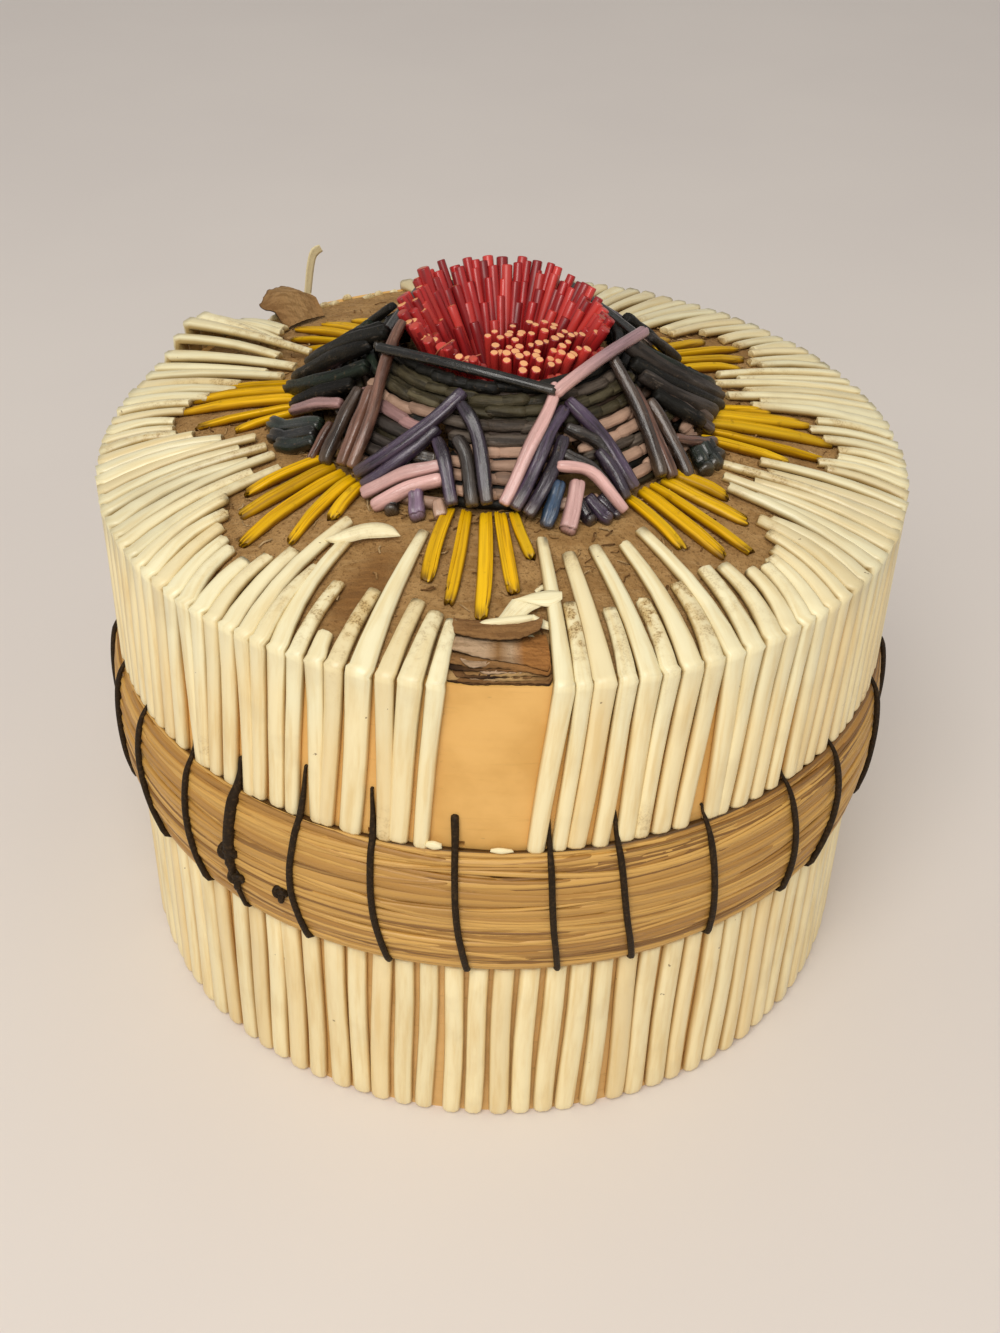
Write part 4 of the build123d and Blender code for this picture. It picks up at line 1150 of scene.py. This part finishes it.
# Red tuft: cut quills that splay out of one root round a hollow, cut lower at the front right
TUFT_TALL_SIDE = 125.0
TUFT_PALE_SIDE = 235.0
PALE_ODDS = (0.06, 0.35, 0.3)  # of a pale cut end: anywhere, towards that side, and there on inner rings
TUFT_TIP_Z = 79.2
TUFT_TIP_SWING = 1.3
STRAND_BEND = 0.38  # how far out a strand has got at half its height
FRONT_FEET = 2.2  # how much further out the feet stand in front
# Rings: radius of the tips and of the feet, count and dip below the outer ring
TUFT_RINGS = (
    *((11.0, 4.6, 50, 0.0), (10.2, 4.2, 46, 0.4), (9.2, 3.8, 36, 1.7)),
    *((7.8, 3.3, 24, 3.4), (6.2, 2.8, 16, 5.0)),
)
CLUSTER = (258.0, 345.0)
CLUSTER_DROP = 2.0
CLUSTER_COUNT = 52
CLUSTER_X, CLUSTER_Y, CLUSTER_Z = 3.3, -5.4, 77.4
CLUSTER_HALVES = (5.3, 4.6)
CLUSTER_SLOPE = 0.16
CLUSTER_FEET = 0.62
GOLDEN_TURN = 2.39996
tuft = Strips()


def red_strand(angle, radius, foot, height, size, cut):
    """One cut quill from a foot radius out to its tip. Its end face is pale where the cut shows."""
    root = polar(foot, angle, TUFT_ROOT_Z + 1)
    swing = chance(-4, 4)
    halfway = foot + (radius - foot) * STRAND_BEND
    bend = polar(halfway, angle + swing * 0.3, (TUFT_ROOT_Z + height) / 2)
    tip = polar(radius, angle + swing, height)
    lift = np.cross(unit(tip - root), [0.3, 0.9, 0.1])
    tuft.add(smooth([root, bend, tip], 7), lift, size, size, CORD, (chance(), 0), ends=(0, 0.14), blunt=0.7)
    last = tuft.verts[-1][-len(CORD) :]
    rim = tuft.verts[-1][-2 * len(CORD) : -len(CORD)]
    rim += (last - rim) * 0.8
    tuft.tones[-1][-len(CORD) :, STAIN_AND_SHADE] = cut


for radius, foot, count, dip in TUFT_RINGS:
    for number in range(count):
        angle = 360 * (number + 0.5 * (dip > 0)) / count + chance(-2, 2)
        in_cluster = CLUSTER[0] < angle < CLUSTER[1]
        if in_cluster and dip > 0:
            continue
        height = TUFT_TIP_Z + TUFT_TIP_SWING * facing(angle, TUFT_TALL_SIDE)
        height -= dip + chance(0, 0.9) + (CLUSTER_DROP if in_cluster else 0.0)
        seen = 0.5 + 0.5 * facing(angle, TUFT_PALE_SIDE)
        pale = PALE_ODDS[0] + PALE_ODDS[1] * seen**2 + (PALE_ODDS[2] * seen if dip > 0.2 else 0.0)
        cut = chance(0.7, 1.0) if chance() < pale else chance(0, 0.15)
        front = (1 - math.sin(math.radians(angle))) / 2
        tip, size = radius + chance(-0.35, 0.3), chance(0.92, 1.3)
        red_strand(angle, tip, foot + FRONT_FEET * front, height, size, cut)
for number in range(CLUSTER_COUNT):
    share, turn = math.sqrt((number + 0.5) / CLUSTER_COUNT), number * GOLDEN_TURN
    x = CLUSTER_X + CLUSTER_HALVES[0] * share * math.cos(turn)
    y = CLUSTER_Y + CLUSTER_HALVES[1] * share * math.sin(turn)
    angle, radius = math.degrees(math.atan2(y, x)) % 360, math.hypot(x, y)
    height = CLUSTER_Z + CLUSTER_SLOPE * (y - CLUSTER_Y) + chance(-0.6, 0.6)
    size, cut = chance(0.82, 1.15), chance(0.8, 1.0)
    red_strand(angle, radius, radius * CLUSTER_FEET, height, size, cut)
LONG_STRAND = (151.0, 10.5, 6.2, 81.0, 1.4, 0.25)
red_strand(*LONG_STRAND)
# Loose red hairs: radius, angle and height of their points
HAIRS = (
    ((10.6, 236.0, 75.4), (11.3, 246.0, 77.6), (10.2, 256.0, 78.4)),
    ((10.8, 240.0, 74.8), (11.5, 250.0, 75.8), (10.9, 259.0, 75.6)),
    ((10.6, 229.0, 75.8), (11.4, 232.0, 78.0), (10.6, 240.0, 79.6)),
)
HAIR_SIZE = 0.13
for points in HAIRS:
    path = smooth([polar(*point) for point in points], 12)
    tuft.add(path, UPWARDS, HAIR_SIZE, HAIR_SIZE, CORD, (0.6, 0.25), ends=(0, 0))
tuft.build("red_tuft_strands", RED, "red_tuft")

# Quills laid round the tuft from petal top to petal top
COLLAR = (
    ("black", 1.15, (14.9, 206.0, 76.9), (11.9, 247.0, 77.2), (14.9, 290.5, 76.2)),
    ("black", 1.3, (14.2, 358.0, 75.7), (12.0, 28.0, 75.9), (14.2, 60.0, 75.7)),
    ("slate", 1.3, (14.2, 65.0, 75.7), (12.0, 97.0, 75.9), (14.2, 128.0, 75.7)),
    ("black", 1.3, (14.2, 133.0, 75.7), (12.0, 166.0, 75.9), (14.2, 199.0, 75.9)),
)
PINK_COLLAR = (
    ("mauve", 1.35, (15.0, 350.0, 77.6), (13.2, 322.0, 77.4), (14.4, 296.0, 76.5), (14.9, 290.6, 75.9)),
)
for name, table, node in (
    ("tuft_binding", COLLAR, "tuft_collar"),
    ("tuft_binding_pink", PINK_COLLAR, "tuft_collar_pink"),
):
    binding = Strips()
    for dye, wide, *points in table:
        path, tone = smooth([polar(*point) for point in points], 16), (chance(), 0.3)
        binding.add(path, UPWARDS, wide, wide * 0.72, RIDGED, tone, DYES[dye], ends=(0.4, 0.4))
        if dye == "mauve":
            pale = np.clip(binding.tones[-1][:, ALONG, None] * 2.2 - 1, 0, 1)
            binding.tints[-1][:, :3] += (np.array(DYES["pink"]) - DYES[dye]) * pale
    binding.build(name, DYED, node)

# Bark top of the lid, torn at the front rim in layers
TORN = (263.2, 277.2)
TORN_FROM = 38.2
TORN_DEEP = 0.5
# Patch laid bare: angle and radius, half spans, strength and tint
PATCH_TURN, PATCH_RADIUS = 247.6, 34.0
PATCH_SPAN, PATCH_DEPTH = 4.6, 6.4
PATCH_STRENGTH = 0.9
PATCH_TINT = (0.34, 0.160, 0.045)


def ragged(turn, seed, size):
    """An uneven line round the box, made of a few waves."""
    turn = np.radians(turn)
    rates = np.array([23, 57, 131, 290])[:, None]
    waves = np.sin(np.ravel(turn) * rates * (1 + 0.13 * seed) + seed * 1.7 * rates) / rates**0.6
    return (size * 3.2 * waves.sum(0)).reshape(np.shape(turn))


turns = np.unique(np.concatenate([np.arange(0, 360, 1.5), np.arange(262.5, 277.6, 0.2)]))
radii = np.concatenate([np.linspace(0.05, 36, 40), np.linspace(36.2, TOP_RADIUS, 50)])
grid_r, grid_t = np.meshgrid(radii, turns, indexing="ij")
waves = np.radians(grid_t)
wander = np.sin(grid_r * 1.9 + 3 * np.cos(waves * 5)) * np.sin(waves * 31 + grid_r * 0.7)
crackle = np.sin(waves * 83 + 2.2 * np.sin(grid_r * 1.1)) * np.sin(grid_r * 3.7 + waves * 19)
inside = (grid_t > TORN[0]) & (grid_t < TORN[1])
torn = np.where(inside, np.clip((grid_r - TORN_FROM - ragged(grid_t, 1, 0.1)) / 0.15, 0, 1), 0)
grid_z = dome(grid_r) + 0.08 * wander + 0.06 * crackle - TORN_DEEP * torn
under_r, under_t = np.meshgrid([TOP_RADIUS, 36, CROWN_RADIUS, 10, 0.05], turns, indexing="ij")
sheet = np.concatenate([polar(grid_r, grid_t, grid_z), polar(under_r, under_t, dome(under_r) - TOP_BARK)])
away = ((grid_t - PATCH_TURN) / PATCH_SPAN) ** 2 + ((grid_r - PATCH_RADIUS) / PATCH_DEPTH) ** 2
patch = np.concatenate([PATCH_STRENGTH * np.exp(-(away**2)), np.zeros_like(under_r)])
tones = np.stack([np.full_like(patch, 0.5), patch], -1)
bark = Strips()
bark.grid(sheet[::-1], tones[::-1], PATCH_TINT, closed=True)

# Loose bark fibres that lie about on the top
FIBRE_COUNT = 700
FIBRE_TINTS = ((0.60, 0.37, 0.15), (0.48, 0.27, 0.10), (0.26, 0.13, 0.042), (0.72, 0.50, 0.25))
BY_FLOWER, ON_BARK = (20.8, 24.0), (23.0, 38.0)
LAYER_TONE = (0.5, 1)
for number in range(FIBRE_COUNT):
    middle = polar(chance(*(BY_FLOWER if number % 2 else ON_BARK)), chance(0, 360), 0)[:2]
    way, length = chance(0, 2 * math.pi), chance(0.25, 0.75)
    ends = [middle + step * length * np.array([math.cos(way), math.sin(way)]) for step in (-1, 0, 1)]
    ends[1] = ends[1] + draw.uniform(-0.25, 0.25, 2)
    rises = (0.03, chance(0.05, 0.35), chance(0.02, 0.4))
    path = [np.append(end, float(dome(np.hypot(*end))) + rise) for end, rise in zip(ends, rises)]
    tint = FIBRE_TINTS[int(chance(0, 3.99))]
    bark.add(path, UPWARDS, chance(0.1, 0.26), chance(0.06, 0.14), BLADE, LAYER_TONE, tint, ends=(0, 0))

# Torn layers from the lowest up: angles, inner radius, outer edge, its lift, tint at spread angles, fray
LIP_BROWN = (0.40, 0.205, 0.072)
GREY_TAN = (0.68, 0.46, 0.275)
RED_BROWN = (0.54, 0.235, 0.062)
DEEP_BROWN = (0.30, 0.145, 0.050)
PALE_FLAKE = (0.68, 0.460, 0.285)
TAN_STRIP = (0.66, 0.410, 0.165)
# Near-black painted shade for the cracks between torn layers
CRACK_SHADE = (0.035, 0.016, 0.008)
LAYERS = [
    (
        *((263.4, 276.9), 40.6, (43.3, 43.6, 43.5, 43.5, 43.7), (0.08, 0.06, 0.08, 0.06, 0.1)),
        *((CRACK_SHADE, DEEP_BROWN, CRACK_SHADE), 0.1),
    ),
    (
        *((263.0, 266.2), 41.0, (43.3, 43.4, 43.3, 42.7), (0.16, 0.2, 0.18, 0.1)),
        *((TAN_STRIP, TAN_STRIP), 0.1),
    ),
]
STACK = (
    ((264.6, 277.0), 43.42, (DEEP_BROWN, LIP_BROWN, DEEP_BROWN)),
    ((266.2, 276.8), 43.22, (PALE_FLAKE, TAN_STRIP, LIP_BROWN)),
    ((264.4, 274.6), 43.02, (DEEP_BROWN, CRACK_SHADE, LIP_BROWN)),
    ((265.6, 276.9), 42.84, (LIP_BROWN, TAN_STRIP, DEEP_BROWN)),
    ((267.6, 273.4), 42.64, (PALE_FLAKE, PALE_FLAKE)),
    ((263.6, 276.8), 42.46, (CRACK_SHADE, DEEP_BROWN, RED_BROWN)),
)
STACK_INNER, STACK_FRAY = 41.2, 0.09
STACK_EDGE = np.array([0, 0.05, -0.04, 0.1])
STACK_LIFT = np.array([0, 0.04, 0])
for step, (span, edge, tints) in enumerate(STACK):
    lifts = 0.14 + 0.085 * step + STACK_LIFT
    LAYERS.append((span, STACK_INNER, edge + STACK_EDGE, lifts, tints, STACK_FRAY))
LAYERS += [
    (
        *((263.3, 276.9), 39.8, (41.8, 42.25, 42.2, 42.5, 43.1), (0.72, 0.66, 0.76, 0.66, 0.56)),
        *((LIP_BROWN, LIP_BROWN, RED_BROWN), 0.1),
    ),
    (
        *((265.2, 269.2), 40.9, (41.6, 42.3, 42.3, 41.9), (0.76, 0.88, 0.8, 0.7)),
        *((PALE_FLAKE, PALE_FLAKE), 0.16),
    ),
    (
        *((263.2, 276.9), 37.6, (40.3, 41.0, 41.5, 41.9, 42.8), (0.96, 0.9, 0.94, 0.84, 0.7)),
        *((*[GREY_TAN] * 4, LIP_BROWN, GREY_TAN, *[RED_BROWN] * 3), 0.07),
    ),
    (
        *((263.4, 276.4), 35.9, (38.8, 39.1, 39.4, 39.3, 38.6), (1.3, 1.2, 1.3, 1.4, 1.85)),
        *((LIP_BROWN, LIP_BROWN), 0.06),
    ),
]
BACK_CURL = ((0.42, 0.235, 0.09), (0.50, 0.30, 0.125), (0.36, 0.19, 0.07))
CURL_LAYER = (31, (128.2, 137.6), 37.0, (42.2, 42.6, 42.8, 42.4), (2.8, 4.2, 4.3, 2.6), BACK_CURL, 0.25)
ACROSS = np.array([0, 0.25, 0.5, 0.75, 0.93, 1.0])
LAYER_THICK = 0.12
# Undersides of the layers are painted dark, as shade
UNDERSIDE_SHADE, DARKER_EDGE = 0.1, 0.75  # how far the underside and the edge keep the layer's tint


def layer(number, span, inner, outer, lifts, tints, fray):
    """A thin layer of torn bark, its outer edge frayed and its underside painted dark as shade."""
    turn = np.arange(span[0], span[1] + 0.01, 0.15)
    share = np.linspace(0, 1, len(turn))

    def spread(values):
        return sample(share, np.linspace(0, 1, len(values)), np.array(values, float).reshape(len(values), -1))

    close = np.clip(np.minimum(share, 1 - share) * (span[1] - span[0]) / 0.7, 0.05, 1)
    r_in = inner + ragged(turn, number + 0.5, fray * 0.4)
    r_out = spread(outer)[:, 0] + ragged(turn, number, fray)
    r_out = r_in + (r_out - r_in) * (1 - 0.35 * (1 - close) ** 2)
    rise = spread(lifts)[:, 0] + ragged(turn, number + 2, 0.05)
    rows = []
    for across in ACROSS:
        radius = r_in + (r_out - r_in) * across
        flutter = 0.03 * np.sin(turn * 5 + across * 9 + number)
        height = dome(radius) + 0.02 + (rise - 0.02) * min(1.0, across * 1.6 + 0.15) + flutter
        rows.append(polar(radius, turn, height))
    tops = len(rows)
    rows += [row - np.array([0, 0, LAYER_THICK]) for row in rows[::-1]]
    rows.append(rows[0])
    blend = spread(tints)
    # The underside rows are painted dark, as shade
    tint = np.stack([blend if row < tops else blend * UNDERSIDE_SHADE for row in range(len(rows))])
    # The outer edge row of the top is a little darker
    tint[tops - 1] *= DARKER_EDGE
    bark.grid(rows, LAYER_TONE, tint)


for number, values in enumerate(LAYERS, start=3):
    layer(number, *values)
layer(*CURL_LAYER)
bark.build("bark_top_sheet", ROUGH_BARK, "lid_top")

# Broken white quills left on the lid: thickness, bow across and stain, then both edges of the flat strip
LOOSE = (
    (
        (0.22, 0.15, 0.0),
        (
            (33.8, 280.2, 65.4), (33.5, 278.3, 65.45), (33.7, 275.8, 65.4),
            (34.1, 273.3, 65.15), (34.2, 272.2, 65.0),
        ),
        (
            (34.6, 280.0, 65.1), (35.3, 278.3, 64.85), (35.15, 276.4, 64.85),
            (34.7, 274.5, 64.95), (34.3, 272.4, 65.0),
        ),
    ),
    (
        (0.2, 0.12, 0.12),
        ((34.2, 272.1, 65.05), (34.9, 271.2, 64.7), (36.0, 270.2, 64.4), (36.6, 269.5, 64.1)),
        ((35.2, 276.5, 64.8), (35.5, 275.1, 64.55), (36.0, 274.1, 64.4), (36.5, 273.2, 64.2)),
    ),
    (
        (0.3, 0.35, 0.0),
        (
            (37.5, 267.0, 63.55), (37.3, 268.0, 63.65), (37.2, 270.2, 63.8),
            (37.0, 273.1, 63.95), (36.7, 275.3, 64.1),
        ),
        (
            (36.9, 267.1, 64.05), (36.6, 268.0, 64.25), (36.5, 270.2, 64.5),
            (36.3, 273.1, 64.65), (36.2, 275.3, 64.6),
        ),
    ),
    (
        (0.2, 0.2, 0.0),
        ((36.2, 275.1, 64.65), (36.5, 276.2, 64.4), (36.9, 277.3, 64.2)),
        ((36.7, 275.1, 64.1), (37.4, 276.0, 63.95), (37.7, 277.2, 63.85)),
    ),
    (
        (0.2, 0.1, 0.25),
        ((36.9, 273.2, 63.7), (37.4, 272.3, 63.6), (38.0, 271.6, 63.6)),
        ((36.9, 273.6, 63.7), (37.6, 274.4, 63.6), (38.4, 275.1, 63.6)),
    ),
    (
        (0.25, 0.3, 0.18),
        (
            (30.8, 235.0, 65.5), (30.4, 236.3, 65.9), (29.2, 238.0, 66.4), (27.9, 239.9, 66.65),
            (26.75, 242.7, 66.7), (26.4, 245.8, 66.5), (27.0, 248.2, 66.1),
        ),
        (
            (30.9, 235.3, 65.45), (30.7, 238.2, 65.55), (29.9, 240.2, 65.7), (28.9, 242.1, 65.85),
            (28.1, 244.6, 65.9), (27.5, 246.8, 65.95), (27.1, 248.5, 66.05),
        ),
    ),
    (
        (0.2, 0.1, 0.1),
        ((32.2, 276.0, 64.6), (31.6, 277.0, 64.7), (31.4, 277.8, 64.7)),
        ((32.6, 276.4, 64.5), (32.2, 277.2, 64.6), (32.0, 278.0, 64.6)),
    ),
    (
        (0.2, 0.2, 0.1),
        (
            (40.9, 129.5, 63.0), (41.0, 128.6, 66.0), (41.0, 127.9, 69.0),
            (41.0, 126.9, 70.9), (41.0, 125.2, 71.2),
        ),
        (
            (41.1, 127.7, 63.0), (41.2, 126.9, 66.0), (41.2, 126.2, 68.6),
            (41.2, 125.6, 69.7), (41.2, 124.4, 70.1),
        ),
    ),
    (
        (0.2, 0.2, 0.2),
        ((39.4, 131.0, 63.5), (40.4, 132.4, 64.6), (41.6, 133.8, 65.1)),
        ((40.2, 130.4, 63.4), (41.2, 131.8, 64.5), (42.2, 133.4, 65.0)),
    ),
    (
        (0.3, 0.25, 0.0),
        ((44.75, 261.3, 42.05), (44.95, 262.4, 41.95), (44.8, 263.5, 42.05)),
        ((44.5, 261.4, 42.55), (44.6, 262.4, 42.8), (44.5, 263.4, 42.5)),
    ),
    (
        (0.25, 0.15, 0.15),
        ((44.7, 269.6, 41.95), (44.85, 271.0, 41.85), (44.7, 272.6, 41.95)),
        ((44.5, 269.7, 42.2), (44.55, 270.8, 42.4), (44.5, 272.4, 42.15)),
    ),
)
loose = Strips()
for (thick, curl, stain), *edges in LOOSE:
    left, right = ([polar(*point) for point in edge] for edge in edges)
    loose.ribbon(left, right, thick, curl, (chance(0, 0.4), stain))
loose.build("loose_quill_bits", WHITE, "broken_quills")

# Stage: pale floor, soft lights and the camera of the photograph
FLOOR = 3.0
WORLD_COLOUR = (0.98, 0.95, 0.93, 1)
WORLD_STRENGTH = 0.47
LAMP_AIM = np.array([0, 0, 0.04])
CAMERA_PLACE = np.array([0.228, -165.228, 156.307]) * MM
LENS = 45.27
DOWN, ROLL = math.radians(37.1715), math.radians(-1.360)
floor_mesh = bpy.data.meshes.new("floor")
corners = [(-FLOOR, -FLOOR, 0), (FLOOR, -FLOOR, 0), (FLOOR, FLOOR, 0), (-FLOOR, FLOOR, 0)]
floor_mesh.from_pydata(corners, [], [(0, 1, 2, 3)])
ground = Paint("pale_floor", (0.785, 0.725, 0.67))
ground.shade((0.76, 0.70, 0.65), ground.cloud(0.01), 0.3, 0.7)
floor_mesh.materials.append(ground.finish(0.7))
link("floor", floor_mesh)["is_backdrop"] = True

world = bpy.data.worlds.new("studio")
bpy.context.scene.world = world
world.use_nodes = True
background = world.node_tree.nodes["Background"]
background.inputs["Color"].default_value = WORLD_COLOUR
background.inputs["Strength"].default_value = WORLD_STRENGTH


def aim(made, place, right, up, back):
    """Puts a lamp or camera at a place, with its own axes along three directions."""
    columns = np.column_stack([right, up, back])
    made.matrix_world = Matrix([[*columns[row], place[row]] for row in range(3)] + [[0, 0, 0, 1]])


def lamp(name, place, power, size, colour):
    data = bpy.data.lights.new(name, "AREA")
    data.energy, data.size, data.color = power, size, colour
    back = unit(np.array(place) - LAMP_AIM)
    right = unit(np.cross(UPWARDS, back))
    aim(link(name, data), place, right, np.cross(back, right), back)


lamp("key", (-0.105, -0.44, 0.60), 3.6, 0.42, (1.0, 0.97, 0.92))
lamp("fill", (0.52, -0.35, 0.50), 0.05, 0.5, (1.0, 0.97, 0.94))

camera_data = bpy.data.cameras.new("photo_camera")
camera_data.lens = LENS
camera_data.sensor_width = 36.0
camera_data.clip_start = 0.01
camera = link("photo_camera", camera_data)
forward = np.array([0, math.cos(DOWN), -math.sin(DOWN)])
level_right = np.array([1.0, 0, 0])
level_up = np.cross(level_right, forward)
right = math.cos(ROLL) * level_right - math.sin(ROLL) * level_up
up = math.sin(ROLL) * level_right + math.cos(ROLL) * level_up
aim(camera, CAMERA_PLACE, right, up, -forward)
bpy.context.scene.camera = camera
bpy.context.scene.view_settings.view_transform = "Standard"

low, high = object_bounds()
